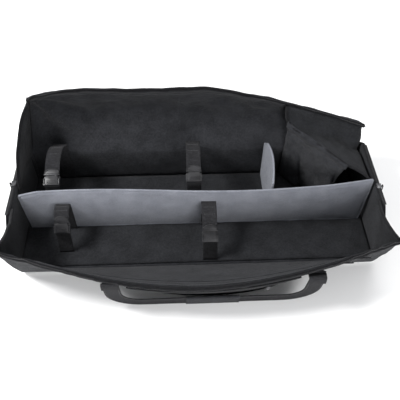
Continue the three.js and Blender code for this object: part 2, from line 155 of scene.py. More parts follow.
class Surface:
    """A Principled material and short ways to add the nodes that colour and raise it."""

    def __init__(self, name, roughness, metallic=0.0, sheen=0.0, specular=0.5):
        self.material = bpy.data.materials.new(name)
        self.material.use_nodes = True
        self.tree = self.material.node_tree
        self.shader = self.tree.nodes["Principled BSDF"]
        self.shader.inputs["Roughness"].default_value = roughness
        self.shader.inputs["Metallic"].default_value = metallic
        self.shader.inputs["Sheen Weight"].default_value = sheen
        self.shader.inputs["Sheen Roughness"].default_value = 0.4
        self.shader.inputs["Specular IOR Level"].default_value = specular

    def node(self, kind, **settings):
        made = self.tree.nodes.new(kind)
        for name, value in settings.items():
            setattr(made, name, value)
        return made

    def link(self, source, target):
        self.tree.links.new(source, target)

    def math(self, operation, a, b=None):
        made = self.node("ShaderNodeMath", operation=operation)
        for socket, value in zip(made.inputs, (a, b)):
            if isinstance(value, (int, float)):
                socket.default_value = value
            elif value is not None:
                self.link(value, socket)
        return made.outputs[0]

    def noise(self, scale, detail):
        coordinates = self.node("ShaderNodeTexCoord")
        made = self.node("ShaderNodeTexNoise")
        made.inputs["Scale"].default_value = scale
        made.inputs["Detail"].default_value = detail
        self.link(coordinates.outputs["Object"], made.inputs["Vector"])
        return made.outputs["Fac"]

    def threads(self, pitch_u, pitch_v):
        """Sine waves across u and along v of the fabric, whose coordinates are metres."""
        coordinates = self.node("ShaderNodeTexCoord")
        split = self.node("ShaderNodeSeparateXYZ")
        self.link(coordinates.outputs["UV"], split.inputs[0])
        wave_u = self.math("SINE", self.math("MULTIPLY", split.outputs[0], math.tau / (pitch_u * MM)))
        wave_v = self.math("SINE", self.math("MULTIPLY", split.outputs[1], math.tau / (pitch_v * MM)))
        return wave_u, wave_v

    def colour(self, dark, light, fac):
        ramp = self.node("ShaderNodeValToRGB")
        ramp.color_ramp.elements[0].position = 0.36
        ramp.color_ramp.elements[1].position = 0.66
        ramp.color_ramp.elements[0].color = (*dark, 1)
        ramp.color_ramp.elements[1].color = (*light, 1)
        self.link(fac, ramp.inputs["Fac"])
        self.link(ramp.outputs["Color"], self.shader.inputs["Base Color"])

    def roughness(self, low, high, fac):
        spread = self.node("ShaderNodeMapRange")
        spread.inputs["To Min"].default_value = low
        spread.inputs["To Max"].default_value = high
        self.link(fac, spread.inputs["Value"])
        self.link(spread.outputs[0], self.shader.inputs["Roughness"])

    def bump(self, *layers):
        """Each layer is (height, distance in millimetres, strength)."""
        normal = None
        for height, distance, strength in layers:
            made = self.node("ShaderNodeBump")
            made.inputs["Distance"].default_value = distance * MM
            made.inputs["Strength"].default_value = strength
            self.link(height, made.inputs["Height"])
            if normal is not None:
                self.link(normal, made.inputs["Normal"])
            normal = made.outputs["Normal"]
        self.link(normal, self.shader.inputs["Normal"])


def woven(name, dark, light, pitch, roughness, sheen, slub=0.5, specular=0.4):
    """Plain-woven cloth: threads of one pitch, uneven yarn, soft mottling and a little fuzz."""
    cloth = Surface(name, roughness, sheen=sheen, specular=specular)
    wave_u, wave_v = cloth.threads(pitch, pitch)
    weave = cloth.math("MULTIPLY", wave_u, wave_v)
    yarn = cloth.noise(230, 2)
    mottle = cloth.noise(26, 5)
    from_yarn = cloth.math("MULTIPLY", yarn, slub)
    from_mottle = cloth.math("MULTIPLY", mottle, 1 - slub)
    tone = cloth.math("ADD", from_yarn, from_mottle)
    cloth.colour(dark, light, cloth.math("ADD", tone, cloth.math("MULTIPLY", weave, 0.08)))
    cloth.roughness(roughness - 0.08, roughness + 0.08, mottle)
    cloth.bump((cloth.noise(42, 4), 6.0, 0.6), (yarn, 0.8, 0.7), (weave, 0.3, 0.8))
    return cloth.material


def ribbed_webbing(name, dark, light, rib):
    """Heavy webbing: ribs across the tape, a herringbone of yarn and fuzzy tone changes."""
    tape = Surface(name, 0.78, sheen=0.03, specular=0.12)
    wave_u, wave_v = tape.threads(2.6, rib)
    fuzz = tape.noise(240, 3)
    height = tape.math("ADD", wave_v, tape.math("MULTIPLY", wave_u, 0.5))
    tape.colour(dark, light, tape.math("ADD", fuzz, tape.math("MULTIPLY", height, 0.08)))
    tape.roughness(0.7, 0.88, fuzz)
    tape.bump((fuzz, 0.4, 0.4), (height, 0.35, 0.8))
    return tape.material


def moulded_plastic(name, dark, light):
    plastic = Surface(name, 0.42, specular=0.3)
    grain = plastic.noise(900, 2)
    wear = plastic.noise(45, 5)
    plastic.colour(dark, light, wear)
    plastic.roughness(0.34, 0.5, wear)
    plastic.bump((grain, 0.08, 0.5))
    return plastic.material


def brushed_metal(name, dark, light):
    metal = Surface(name, 0.3, metallic=1.0)
    scratches = metal.noise(700, 2)
    tarnish = metal.noise(80, 4)
    metal.colour(dark, light, tarnish)
    metal.roughness(0.22, 0.45, scratches)
    metal.bump((scratches, 0.05, 0.5))
    return metal.material


def twisted_thread(name, dark, light):
    thread = Surface(name, 0.6, sheen=0.2)
    fibre = thread.noise(1500, 2)
    thread.colour(dark, light, fibre)
    thread.bump((fibre, 0.2, 0.6))
    return thread.material


SHELL = woven("shell_fabric", (0.013, 0.0135, 0.0155), (0.030, 0.031, 0.035), 1.1, 0.82, 0.05, 0.5, 0.12)
INNER = woven("inner_fabric", (0.011, 0.0115, 0.013), (0.025, 0.026, 0.029), 1.0, 0.85, 0.04, 0.5, 0.1)
LINING = woven("lining_fabric", (0.15, 0.158, 0.185), (0.215, 0.225, 0.258), 0.8, 0.5, 0.15, 0.35, 0.35)
BINDING = ribbed_webbing("binding_tape", (0.006, 0.006, 0.007), (0.016, 0.016, 0.018), 1.0)
WEBBING = ribbed_webbing("strap_webbing", (0.008, 0.008, 0.009), (0.022, 0.022, 0.0245), 1.5)
ZIP_TAPE = ribbed_webbing("zip_tape", (0.006, 0.006, 0.007), (0.014, 0.014, 0.016), 0.8)
PLASTIC = moulded_plastic("buckle_plastic", (0.005, 0.005, 0.006), (0.014, 0.014, 0.016))
COIL = moulded_plastic("zip_coil", (0.008, 0.008, 0.009), (0.022, 0.022, 0.024))
METAL = brushed_metal("slider_metal", (0.09, 0.09, 0.095), (0.24, 0.24, 0.25))
THREAD = twisted_thread("sewing_thread", (0.03, 0.03, 0.033), (0.075, 0.075, 0.08))
PALE_THREAD = twisted_thread("lining_thread", (0.16, 0.16, 0.19), (0.3, 0.3, 0.34))


# ---- mesh making ---------------------------------------------------------------------------------


def make_object(name, points, faces, uvs, material):
    """An object from points in millimetres, faces, and a u, v pair in metres for each face corner."""
    mesh = bpy.data.meshes.new(name)
    mesh.from_pydata((np.asarray(points, float) * MM).tolist(), [], faces)
    layer = mesh.uv_layers.new(name="UVMap")
    layer.data.foreach_set("uv", np.asarray(uvs, np.float32).ravel())
    mesh.polygons.foreach_set("use_smooth", [True] * len(mesh.polygons))
    mesh.materials.append(material)
    mesh.validate()
    made = bpy.data.objects.new(name, mesh)
    bpy.context.scene.collection.objects.link(made)
    return made


class Builder:
    """Collects many small solids into one object."""

    def __init__(self):
        self.points, self.faces, self.uvs = [], [], []

    def add(self, points, faces, uvs):
        start = sum(len(p) for p in self.points)
        self.points.append(np.asarray(points, float))
        self.faces.extend([tuple(i + start for i in face) for face in faces])
        self.uvs.extend(uvs)

    def done(self, name, material):
        return make_object(name, np.concatenate(self.points), self.faces, self.uvs, material)


def shares(count, ends=0.0):
    """Shares from 0 to 1, closer together near both ends as ends goes to 1."""
    even = np.linspace(0, 1, count + 1)
    return (1 - ends) * even + ends * (0.5 - 0.5 * np.cos(np.pi * even))


def lattice(sheet, columns, rows, ends=0.6):
    u, v = np.meshgrid(shares(columns, ends), shares(rows, ends))
    x, y, z = np.broadcast_arrays(*sheet(u, v))
    return np.stack([x, y, z], -1).astype(float)


def normals(points):
    """Unit normals of a lattice of points."""
    cross = np.cross(np.gradient(points, axis=1), np.gradient(points, axis=0))
    return cross / np.maximum(np.linalg.norm(cross, axis=-1, keepdims=True), 1e-9)


def lengths_along(points, axis):
    """Distance from the lattice's first line to each point, along rows or columns."""
    steps = np.linalg.norm(np.diff(points, axis=axis), axis=-1)
    pad = [(1, 0), (0, 0)] if axis == 0 else [(0, 0), (1, 0)]
    return np.pad(np.cumsum(steps, axis=axis), pad)


def edge_taper(points, edge, least):
    """A share of full thickness for each lattice point: rounded down to least at the borders."""
    along, up = lengths_along(points, 1), lengths_along(points, 0)
    inset = np.minimum.reduce([along, along[:, -1:] - along, up, up[-1:, :] - up])
    share = np.clip(inset / edge, 0, 1)
    return least + (1 - least) * np.sqrt(1 - (1 - share) ** 2)


def wrinkles(points, size, amount, stretch=(1, 1, 1), seed=0):
    """Smooth random heights for a lattice or list of points, the same on every run."""
    scaled = points * np.array(stretch) / size + seed * 7.3
    flat = [noise.fractal(Vector(p), 0.9, 2.0, 3) for p in scaled.reshape(-1, 3)]
    return amount * np.array(flat).reshape(points.shape[:-1])


def slab_faces(rows, columns):
    """Quads of a lattice, and the walls that join its border to a second lattice's border."""
    index = np.arange(rows * columns).reshape(rows, columns)
    a, b, c, d = index[:-1, :-1], index[:-1, 1:], index[1:, 1:], index[1:, :-1]
    quads = np.stack([a, b, c, d], -1).reshape(-1, 4)
    ring = perimeter(index)
    following = np.roll(ring, -1)
    total = rows * columns
    walls = np.stack([following, ring, ring + total, following + total], -1)
    return quads, walls


def slab(name, points, thickness, material, side=1, edge=10.0, least=0.35):
    """A closed padded panel. points are one face, and the other lies thickness away along side."""
    rows, columns = points.shape[:2]
    taper = edge_taper(points, edge, least)[..., None]
    direction = side * normals(points)
    near = points + direction * thickness * (1 - taper) / 2
    far = points + direction * thickness * (1 + taper) / 2
    u, v = lengths_along(points, 1) * MM, lengths_along(points, 0) * MM
    uv = np.stack([u, v], -1).reshape(-1, 2)
    quads, walls = slab_faces(rows, columns)
    total = rows * columns
    if side > 0:
        faces = np.concatenate([quads[:, ::-1], quads + total, walls[:, ::-1]])
    else:
        faces = np.concatenate([quads, quads[:, ::-1] + total, walls])
    corners = np.concatenate([uv, uv])[faces.ravel()]
    everything = np.concatenate([near.reshape(-1, 3), far.reshape(-1, 3)])
    return make_object(name, everything, faces.tolist(), corners, material)


def resampled(path, step):
    """A path with its points evenly spaced, about step apart."""
    path = np.asarray(path, float)
    run = np.concatenate([[0], np.cumsum(np.linalg.norm(np.diff(path, axis=0), axis=1))])
    count = max(2, int(round(run[-1] / step)) + 1)
    wanted = np.linspace(0, run[-1], count)
    return np.stack([np.interp(wanted, run, path[:, k]) for k in range(3)], -1)


def rounded_path(path, step, passes=3):
    """A path with its corners cut off by repeated quarter cuts, then evenly spaced."""
    path = np.asarray(path, float)
    for _ in range(passes):
        first = 0.75 * path[:-1] + 0.25 * path[1:]
        second = 0.25 * path[:-1] + 0.75 * path[1:]
        cut = np.stack([first, second], 1).reshape(-1, 3)
        path = np.concatenate([path[:1], cut, path[-1:]])
    return resampled(path, step)


def tangents(path):
    along = np.gradient(path, axis=0)
    return along / np.maximum(np.linalg.norm(along, axis=1, keepdims=True), 1e-9)


def sweep(path, section, across, closed=False):
    """Points, faces and uvs of a section of (sideways, outward) pairs swept along a path."""
    along = tangents(path)
    if closed:
        along = path[(np.arange(len(path)) + 1) % len(path)] - path[np.arange(len(path)) - 1]
        along /= np.linalg.norm(along, axis=1, keepdims=True)
    across = np.broadcast_to(np.asarray(across, float), path.shape)
    across = across - np.sum(across * along, 1, keepdims=True) * along
    across /= np.maximum(np.linalg.norm(across, axis=1, keepdims=True), 1e-9)
    outward = np.cross(across, along)
    section = np.asarray(section, float)
    count, size = len(path), len(section)
    points = path[:, None] + across[:, None] * section[:, :1] + outward[:, None] * section[:, 1:]
    run = np.concatenate([[0], np.cumsum(np.linalg.norm(np.diff(path, axis=0), axis=1))]) * MM
    faces, uvs = [], []
    for i in range(count if closed else count - 1):
        j = (i + 1) % count
        for k in range(size):
            m = (k + 1) % size
            faces.append((i * size + k, i * size + m, j * size + m, j * size + k))
            u0, u1 = section[k, 0] * MM, section[m, 0] * MM
            uvs.extend([(u0, run[i]), (u1, run[i]), (u1, run[j]), (u0, run[j])])
    if not closed:
        faces.append(tuple(range(size))[::-1])
        faces.append(tuple((count - 1) * size + k for k in range(size)))
        uvs.extend([(s * MM, w * MM) for s, w in section[::-1]] + [(s * MM, w * MM) for s, w in section])
    return points.reshape(-1, 3), faces, uvs


def circle(radius, sides=10, flatten=1.0):
    angles = np.arange(sides) * math.tau / sides
    return np.stack([radius * np.cos(angles), flatten * radius * np.sin(angles)], -1)


def tape_section(width, thickness, columns=6, cup=0.0):
    """A flat woven tape's section, its selvedges rounded and its middle cupped by cup."""
    half, edge = width / 2, thickness / 2
    across = np.linspace(-half + edge, half - edge, columns + 1)
    lift = cup * (1 - (across / half) ** 2)
    top = np.stack([across, lift + edge], -1)
    bottom = np.stack([across[::-1], lift[::-1] - edge], -1)
    right = [(half - 0.3 * edge, 0.7 * edge), (half, 0), (half - 0.3 * edge, -0.7 * edge)]
    left = [(-half + 0.3 * edge, -0.7 * edge), (-half, 0), (-half + 0.3 * edge, 0.7 * edge)]
    return np.concatenate([top, right, bottom, left])


def tube(name, path, radius, material, closed=False, flatten=1.0, across=(0.12, 0.3, 0.95)):
    builder = Builder()
    builder.add(*sweep(np.asarray(path, float), circle(radius, flatten=flatten), across, closed))
    return builder.done(name, material)


def tape(name, path, across, width, material, thickness=WEBBING_THICKNESS, cup=0.0):
    builder = Builder()
    builder.add(*sweep(np.asarray(path, float), tape_section(width, thickness, cup=cup), across))
    return builder.done(name, material)


def add_stitches(builder, path, length=3.4, pitch=5.0, radius=0.55):
    """A row of spindle-shaped stitches lying along a path."""
    line = resampled(path, pitch)
    along = tangents(line)
    for centre, direction in zip(line[:-1] + along[:-1] * pitch / 2, along[:-1]):
        ends = [centre + direction * length * k for k in (-0.5, -0.3, 0, 0.3, 0.5)]
        points, faces, uvs = sweep(np.array(ends), circle(1.0, 6), (0.13, 0.31, 0.94))
        swell = np.repeat([0.3, 0.85, 1.0, 0.85, 0.3], 6)[:, None] * radius
        middle = np.repeat(np.array(ends), 6, axis=0)
        builder.add(middle + (points - middle) * swell, faces, uvs)


def stitching(name, paths, material=THREAD):
    builder = Builder()
    for path in paths:
        add_stitches(builder, path)
    return builder.done(name, material)


def zip_teeth(name, path, across, width=5.0, pitch=TOOTH_PITCH, height=2.2):
    """A coil of small rounded teeth along a path."""
    builder = Builder()
    line = resampled(path, pitch)
    along = tangents(line)
    across = np.broadcast_to(np.asarray(across, float), line.shape)
    for i, (centre, direction, sideways) in enumerate(zip(line, along, across)):
        shift = sideways * width * (0.16 if i % 2 else -0.16)
        ends = np.array([centre + shift + sideways * width * k for k in (-0.5, -0.35, 0.35, 0.5)])
        points, faces, uvs = sweep(ends, circle(1.0, 6, height / pitch), direction)
        swell = np.repeat([0.4, 1, 1, 0.4], 6)[:, None] * pitch * 0.46
        middle = np.repeat(ends, 6, axis=0)
        builder.add(middle + (points - middle) * swell, faces, uvs)
    return builder.done(name, COIL)


def plate(builder, outline, low, high, bevel, place):
    """Adds a moulded plate: an outline pushed from low to high, its edges rounded, then put in place."""
    work = bmesh.new()
    corners = [work.verts.new((u, v, low)) for u, v in outline]
    base = work.faces.new(corners)
    pushed = bmesh.ops.extrude_face_region(work, geom=[base])
    top = [item for item in pushed["geom"] if isinstance(item, bmesh.types.BMVert)]
    bmesh.ops.translate(work, verts=top, vec=(0, 0, high - low))
    bmesh.ops.recalc_face_normals(work, faces=work.faces)
    flat_edges = [e for e in work.edges if abs(e.verts[0].co.z - e.verts[1].co.z) < 1e-6]
    if bevel:
        bmesh.ops.bevel(work, geom=flat_edges, offset=bevel, segments=2, affect="EDGES", profile=0.6)
    work.verts.index_update()
    points = [place @ v.co for v in work.verts]
    faces = [tuple(v.index for v in face.verts) for face in work.faces]
    uvs = [(loop.vert.co.x * MM, loop.vert.co.y * MM) for face in work.faces for loop in face.loops]
    work.free()
    builder.add(np.array(points), faces, uvs)


def rounded_rectangle(width, height, radius, centre=(0, 0), steps=4):
    outline = []
    for k, (sx, sy) in enumerate(((1, 1), (-1, 1), (-1, -1), (1, -1))):
        for step in range(steps + 1):
            angle = (k + step / steps) * math.pi / 2
            outline.append((
                centre[0] + sx * (width / 2 - radius) + radius * math.cos(angle),
                centre[1] + sy * (height / 2 - radius) + radius * math.sin(angle),
            ))
    return outline


def box_uv(target):
    """Fabric coordinates in metres for a mesh with none, from the side that each face looks to."""
    mesh = target.data
    layer = mesh.uv_layers.get("UVMap") or mesh.uv_layers.new(name="UVMap")
    for face in mesh.polygons:
        away = max(range(3), key=lambda k: abs(face.normal[k]))
        kept = [k for k in range(3) if k != away]
        for corner in face.loop_indices:
            co = mesh.vertices[mesh.loops[corner].vertex_index].co
            layer.data[corner].uv = (co[kept[0]], co[kept[1]])


def remeshed(target, voxel):
    """Even quads of about one voxel in place of the object's own mesh."""
    modifier = target.modifiers.new("remesh", "REMESH")
    modifier.mode = "VOXEL"
    modifier.voxel_size = voxel * MM
    take_evaluated(target)


def take_evaluated(target):
    """Keeps the mesh that the object's modifiers make, and removes them."""
    depsgraph = bpy.context.evaluated_depsgraph_get()
    mesh = bpy.data.meshes.new_from_object(target.evaluated_get(depsgraph))
    mesh.polygons.foreach_set("use_smooth", [True] * len(mesh.polygons))
    target.modifiers.clear()
    target.data = mesh


def inflated(target, seam, voxel=5.0, pressure=4.0, cap=6.0, hold=7.0, frames=20):
    """Blows a pad up as cloth between its sewn seam, whose points stay where they are."""
    remeshed(target, voxel)
    mesh = target.data
    rest = np.array([v.co for v in mesh.vertices])
    tree = kdtree.KDTree(len(seam))
    for i, point in enumerate(seam):
        tree.insert(Vector(point) * MM, i)
    tree.balance()
    pins = target.vertex_groups.new(name="seam")
    held = [v.index for v in mesh.vertices if tree.find(v.co)[2] < hold * MM]
    pins.add(held, 1.0, "REPLACE")
    cloth = target.modifiers.new("cloth", "CLOTH")
    cloth.settings.use_pressure = True
    cloth.settings.uniform_pressure_force = pressure
    cloth.settings.vertex_group_mass = "seam"
    cloth.settings.effector_weights.gravity = 0
    cloth.settings.quality = 4
    for number in range(1, frames + 1):
        bpy.context.scene.frame_set(number)
    take_evaluated(target)
    bpy.context.scene.frame_set(1)
    target.vertex_groups.clear()
    moved = np.array([v.co for v in target.data.vertices]) - rest
    reach = np.linalg.norm(moved, axis=1, keepdims=True)
    moved *= np.minimum(1, cap * MM / np.maximum(reach, 1e-9))
    target.data.vertices.foreach_set("co", (rest + moved).ravel())
    target.modifiers.new("fine", "SUBSURF").levels = 1
    target.modifiers["fine"].render_levels = 1
    take_evaluated(target)
    box_uv(target)


def finish_piece(target, slot, body, replaces=(), bends=None):
    """Hides the CAD parts that a piece replaces, then attaches it to a body, or only bakes its transform
    when it bends. The slot is not used.
    """
    if replaces:
        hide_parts(*replaces)
    if bends:
        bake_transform(target)
    else:
        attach(target, body)


def finish_node(target, slot, node):
    """Finishes a piece that stands for one CAD node and follows that node's body."""
    finish_piece(target, slot, BODY_OF[node], [node])


def finish_padded(target, slot, body, replaces=(), bends=None):
    finish_piece(target, slot, body, replaces, bends)


def piping(name, path, radius, body, bends=None):
    """A corded seam or a bound edge along a path."""
    finish_piece(tube(name, resampled(path, 5), radius, BINDING), "webbing", body, bends=bends)


def closed_piping(name, border, radius, body, material=BINDING, slot="webbing", step=5, flatten=1.0):
    loop = resampled(np.concatenate([border, border[:1]]), step)[:-1]
    finish_piece(tube(name, loop, radius, material, closed=True, flatten=flatten), slot, body)


def zip_run(name, tape_line, teeth_line, across, width, body, key=0, thickness=1.6, **finish):
    """A zip's tape and its teeth on lines that grow steadily along the key axis."""
    strip = tape(f"{name}_tape", tape_line, across, width, ZIP_TAPE, thickness)
    finish_piece(strip, "zip", body, **finish)
    spacing = resampled(teeth_line, TOOTH_PITCH)
    sideways = [np.interp(spacing[:, key], teeth_line[:, key], across[:, k]) for k in range(3)]
    teeth = zip_teeth(f"{name}_teeth", teeth_line, np.stack(sideways, -1))
    finish_piece(teeth, "zip", body, bends=finish.get("bends"))


def outward_from(edge, inside):
    """Unit directions in which a sheet leaves its edge, from a line a little inside it."""
    away = edge - inside
    return away / np.linalg.norm(away, axis=1, keepdims=True)


# ---- curved sheets of the case -------------------------------------------------------------------


def bezier(foot, belly, edge, t):
    return (1 - t) ** 2 * foot + 2 * t * (1 - t) * belly + t * t * edge


def hood_profile(x, t):
    """The hood's inner face at the length x and height t, as y and z."""
    sink = (np.clip(x - DROOP_START, 0, None) / (HOOD_HALF - DROOP_START)) ** DROOP_POWER
    corner = np.clip(LEFT_CORNER_START - x, 0, None) / (LEFT_CORNER_START + HOOD_HALF)
    belly_y, belly_z = (HOOD_BELLY[k] + DROOP_BELLY[k] * sink for k in range(2))
    edge_y, edge_z = (HOOD_EDGE[k] + DROOP_EDGE[k] * sink for k in range(2))
    y = bezier(HOOD_FOOT[0], belly_y, edge_y, t)
    z = bezier(HOOD_FOOT[1], belly_z, edge_z - LEFT_CORNER_DROP * corner**2, t)
    return y, z


def hood_point(u, t):
    """A point of the hood's inner face, u from 0 at the left end to 1 at the right."""
    x = (2 * u - 1) * HOOD_HALF
    y, z = hood_profile(x, t)
    return x * hood_reach(x, t) / HOOD_HALF, y, z


def hood_reach(x, t):
    """Half the hood's length at the height t, on the side where x is."""
    return HOOD_HALF - np.where(x > 0, HOOD_TAPER_RIGHT, HOOD_TAPER_LEFT) * t * t


def flap_profile(x, t):
    """The flap's inner face at the length x and height t, as y and z."""
    slump = np.sin(np.pi * (x + FLAP_HALF + 2) / (2 * FLAP_HALF + 4))
    belly = [mix(end, middle, slump) for end, middle in zip(FLAP_END_BELLY, FLAP_MID_BELLY)]
    rim = [mix(end, middle, slump) for end, middle in zip(FLAP_END_RIM, FLAP_MID_RIM)]
    return tuple(bezier(FLAP_FOOT[k], belly[k], rim[k], t) for k in range(2))


def mix(a, b, share):
    return a + (b - a) * share


def between(a, b, share):
    """Points on the straight lines from a to b, by share."""
    return np.asarray(a) + (np.asarray(b) - np.asarray(a)) * share


def offset_lattice(points, distance):
    return points + normals(points) * distance


def hood_waves(points):
    """Soft folds of the hood: broad waves, and creases that spread from its upper left corner."""
    broad = wrinkles(points, 150, 10, (0.8, 1.2, 1.2), 1)
    folds = wrinkles(points, 75, 9, (0.6, 1, 1), 3)
    fine = wrinkles(points, 32, 3.0, seed=2)
    x, z = points[..., 0], points[..., 2]
    away, below = x - HOOD_CORNER[0], HOOD_CORNER[1] - z
    from_corner = np.hypot(away, below)
    bearing = np.arctan2(below, away)
    creases = 7 * np.exp(-((from_corner - 120) / 130) ** 2) * np.sin(10 * bearing + from_corner / 55)
    settle = np.clip((z - 112) / 50, 0, 1)
    calm = 1 - 0.75 * np.linspace(0, 1, len(points))[:, None] ** 4
    sewn = np.sin(np.clip((HOOD_HALF + CORNER_OVERLAP - np.abs(x)) / SEWN_REACH, 0, 1) * math.pi / 2)
    return sewn * (settle * calm * (broad + folds + fine + creases) + (1 - settle) * 0.3 * fine)


def flap_waves(points):
    broad = wrinkles(points, 170, 7, (0.6, 1, 1), 5)
    fine = wrinkles(points, 40, 2.6, seed=6)
    settle = np.clip((points[..., 2] - 40) / 60, 0, 1)
    return settle * (broad + fine)


# ---- shell: floor, walls, dividers ---------------------------------------------------------------


def rounded_floor(half_length, half_depth, corner, z):
    """Sheet of a rectangle whose corners are round."""
    def sheet(u, v):
        x, y = (2 * u - 1) * half_length, (2 * v - 1) * half_depth
        qx = np.clip(np.abs(x) - (half_length - corner), 0, None) / corner
        qy = np.clip(np.abs(y) - (half_depth - corner), 0, None) / corner
        turned = np.maximum(qx, qy) / np.maximum(np.hypot(qx, qy), 1e-9)
        squeeze = np.where((qx > 0) & (qy > 0), turned, 1)
        x = np.sign(x) * np.where(qx > 0, half_length - corner + corner * qx * squeeze, np.abs(x))
        y = np.sign(y) * np.where(qy > 0, half_depth - corner + corner * qy * squeeze, np.abs(y))
        return x, y, z + 0 * x
    return sheet


def perimeter(points):
    """The border of a lattice as one closed path."""
    return np.concatenate([points[0], points[1:, -1], points[-1, -2::-1], points[-2:0:-1, 0]])


def middle_border(points, half_thickness):
    """The border of a panel's middle surface, half its thickness away from points."""
    return perimeter(points) + perimeter(normals(points)) * half_thickness


def bottom():
    points = lattice(rounded_floor(base_high[0] - 1, base_high[1] - 1, BASE_CORNER, base_low[2]), 60, 24)
    panel = slab("bottom_shell", points, base_high[2] - base_low[2], SHELL, edge=6, least=0.5)
    finish_piece(panel, "shell_fabric", "root", ["bottom_panel"])
    seam = perimeter(points) + np.array([0, 0, base_high[2] - 1.5])
    closed_piping("bottom_piping", seam, 2.6, "root", step=6)


def floor_pad():
    def sheet(u, v):
        x = mix(floor_low[0], floor_high[0], u)
        y = mix(floor_low[1], floor_high[1], v)
        return x, y, floor_low[2] + 0 * x
    points = lattice(sheet, 90, 30)
    thickness = floor_high[2] - floor_low[2]
    pad = slab("floor_lining", points, thickness + wrinkles(points, 60, 1.2, seed=11)[..., None], INNER)
    finish_padded(pad, "lining", "root", ["floor_pad"])


def end_sheet(x):
    def sheet(u, v):
        y = mix(END_OUTLINE_Y[0], END_OUTLINE_Y[-1], u)
        top = np.interp(y, END_OUTLINE_Y, END_OUTLINE_Z)
        return x + 0 * y, y, mix(end_low[2], top, v)
    return sheet


def end_panel(word, side):
    inner, outer = side * end_low[0], side * end_high[0]
    points = lattice(end_sheet(inner), 48, 26)
    thickness = abs(outer - inner)
    swell = wrinkles(points, 80, 1.6, seed=20 + side)[..., None]
    padding = thickness - 1.5 + swell
    panel = slab(f"{word}_end_shell", points, padding, SHELL, side=side, edge=14, least=0.4)
    finish_padded(panel, "shell_fabric", "root", [f"{word}_end_panel"])
    middle = points + np.array([side * thickness / 2, 0, 0])
    piping(f"{word}_end_piping", sides_and_top(middle), 2.4, "root")
    x = inner - side
    for place, y, top in (("front", base_low[1] + 4, 60), ("back", wall_low[1] - 2, 126)):
        corner = resampled([(x, y, base_high[2]), (x, y, top)], 6)
        seam = tube(f"{word}_{place}_corner_seam", corner, CORNER_PIPING, INNER)
        finish_piece(seam, "shell_fabric", "root")
    inset = lattice(end_sheet(outer - side * 1.5), 48, 26)[2:-3, 3:-3]
    finish_piece(stitching(f"{word}_end_stitching", [sides_and_top(inset)]), "webbing", "root")


def sides_and_top(points):
    """A lattice's border without its lower line, from its first column round to its last."""
    return np.concatenate([points[:, 0], points[-1, 1:-1], points[::-1, -1]])


def main_divider():
    """The long padded divider. Its top is crowned, its left end a soft point, its right end raised."""
    def sheet(u, v):
        x = mix(divider_low[0] - 6 * v, divider_high[0] + 6 * v, u)
        rise = 12 * np.clip((u - 0.86) / 0.14, 0, 1) ** 1.5 - 9 * np.clip((0.05 - u) / 0.05, 0, 1)
        z = mix(divider_low[2], divider_high[2] + rise, v)
        lean = 8 * v * v * np.sin(2.2 * np.pi * u + 0.4) - 4 * v
        return x, divider_high[1] - 1 + lean, z
    points = lattice(sheet, 110, 26, 0.3)
    pad = slab("main_divider_pad", points, 9.0, LINING, edge=16, least=0.55)
    border = middle_border(points, 4.5)
    inflated(pad, resampled(border, 4), voxel=4.6, pressure=5.0, cap=6.0)
    finish_padded(pad, "lining", "main_divider", ["main_divider"])
    closed_piping("main_divider_binding", border, 3.2, "main_divider", LINING, "lining", flatten=0.8)
    seam = (points + normals(points) * 8.4)[-4, 3:-3]
    finish_piece(stitching("main_divider_stitching", [seam], PALE_THREAD), "lining", "main_divider")


def cross_divider():
    def sheet(u, v):
        y = mix(cross_low[1] + 2, cross_high[1] - 2, u)
        crown = 18 * np.sin(np.pi * np.clip(u * 1.05, 0, 1)) ** 0.8
        top = cross_high[2] + crown - 14 * np.clip((u - 0.85) / 0.15, 0, 1)
        return cross_low[0] + 1 + 7 * v * v * np.sin(np.pi * u), y, mix(cross_low[2], top, v)
    points = lattice(sheet, 30, 24, 0.3)
    pad = slab("cross_divider_pad", points, 7.0, LINING, edge=14, least=0.6)
    border = middle_border(points, 3.5)
    inflated(pad, resampled(border, 4), voxel=4.0, pressure=5.0, cap=5.0)
    finish_padded(pad, "lining", "cross_divider", ["cross_divider"])
    closed_piping("cross_divider_binding", border, 2.8, "cross_divider", LINING, "lining")


# ---- hood ----------------------------------------------------------------------------------------


def hood_panel():
    """The back wall and the hood above it, as one padded panel."""
    wall_rows, hood_rows, columns = 9, 34, 120
    u = shares(columns, 0.4)
    rows = []
    for v in np.linspace(0, 1, wall_rows):
        x = (2 * u - 1) * (HOOD_HALF + CORNER_OVERLAP)
        z = mix(wall_low[2], wall_high[2] - 4, v) + 0 * x
        rows.append(np.stack([x, wall_low[1] + 0 * x, z], -1))
    for t in np.linspace(0.06, 1, hood_rows):
        rows.append(np.stack(np.broadcast_arrays(*hood_point(u, t)), -1))
    points = np.array(rows)
    outward = -normals(points)
    points = points + outward * hood_waves(points)[..., None]
    share = np.clip((points[..., 2] - wall_high[2]) / 20, 0, 1)[..., None]
    thickness = mix(wall_high[1] - wall_low[1], PAD, share)
    panel = slab("hood_panel_fabric", points, thickness, SHELL, side=-1, edge=12, least=0.45)
    finish_padded(panel, "shell_fabric", "hood", ["hood_panel", "back_wall"], HOOD_FOLD)
    return points, points - normals(points) * thickness / 2, points - normals(points) * thickness


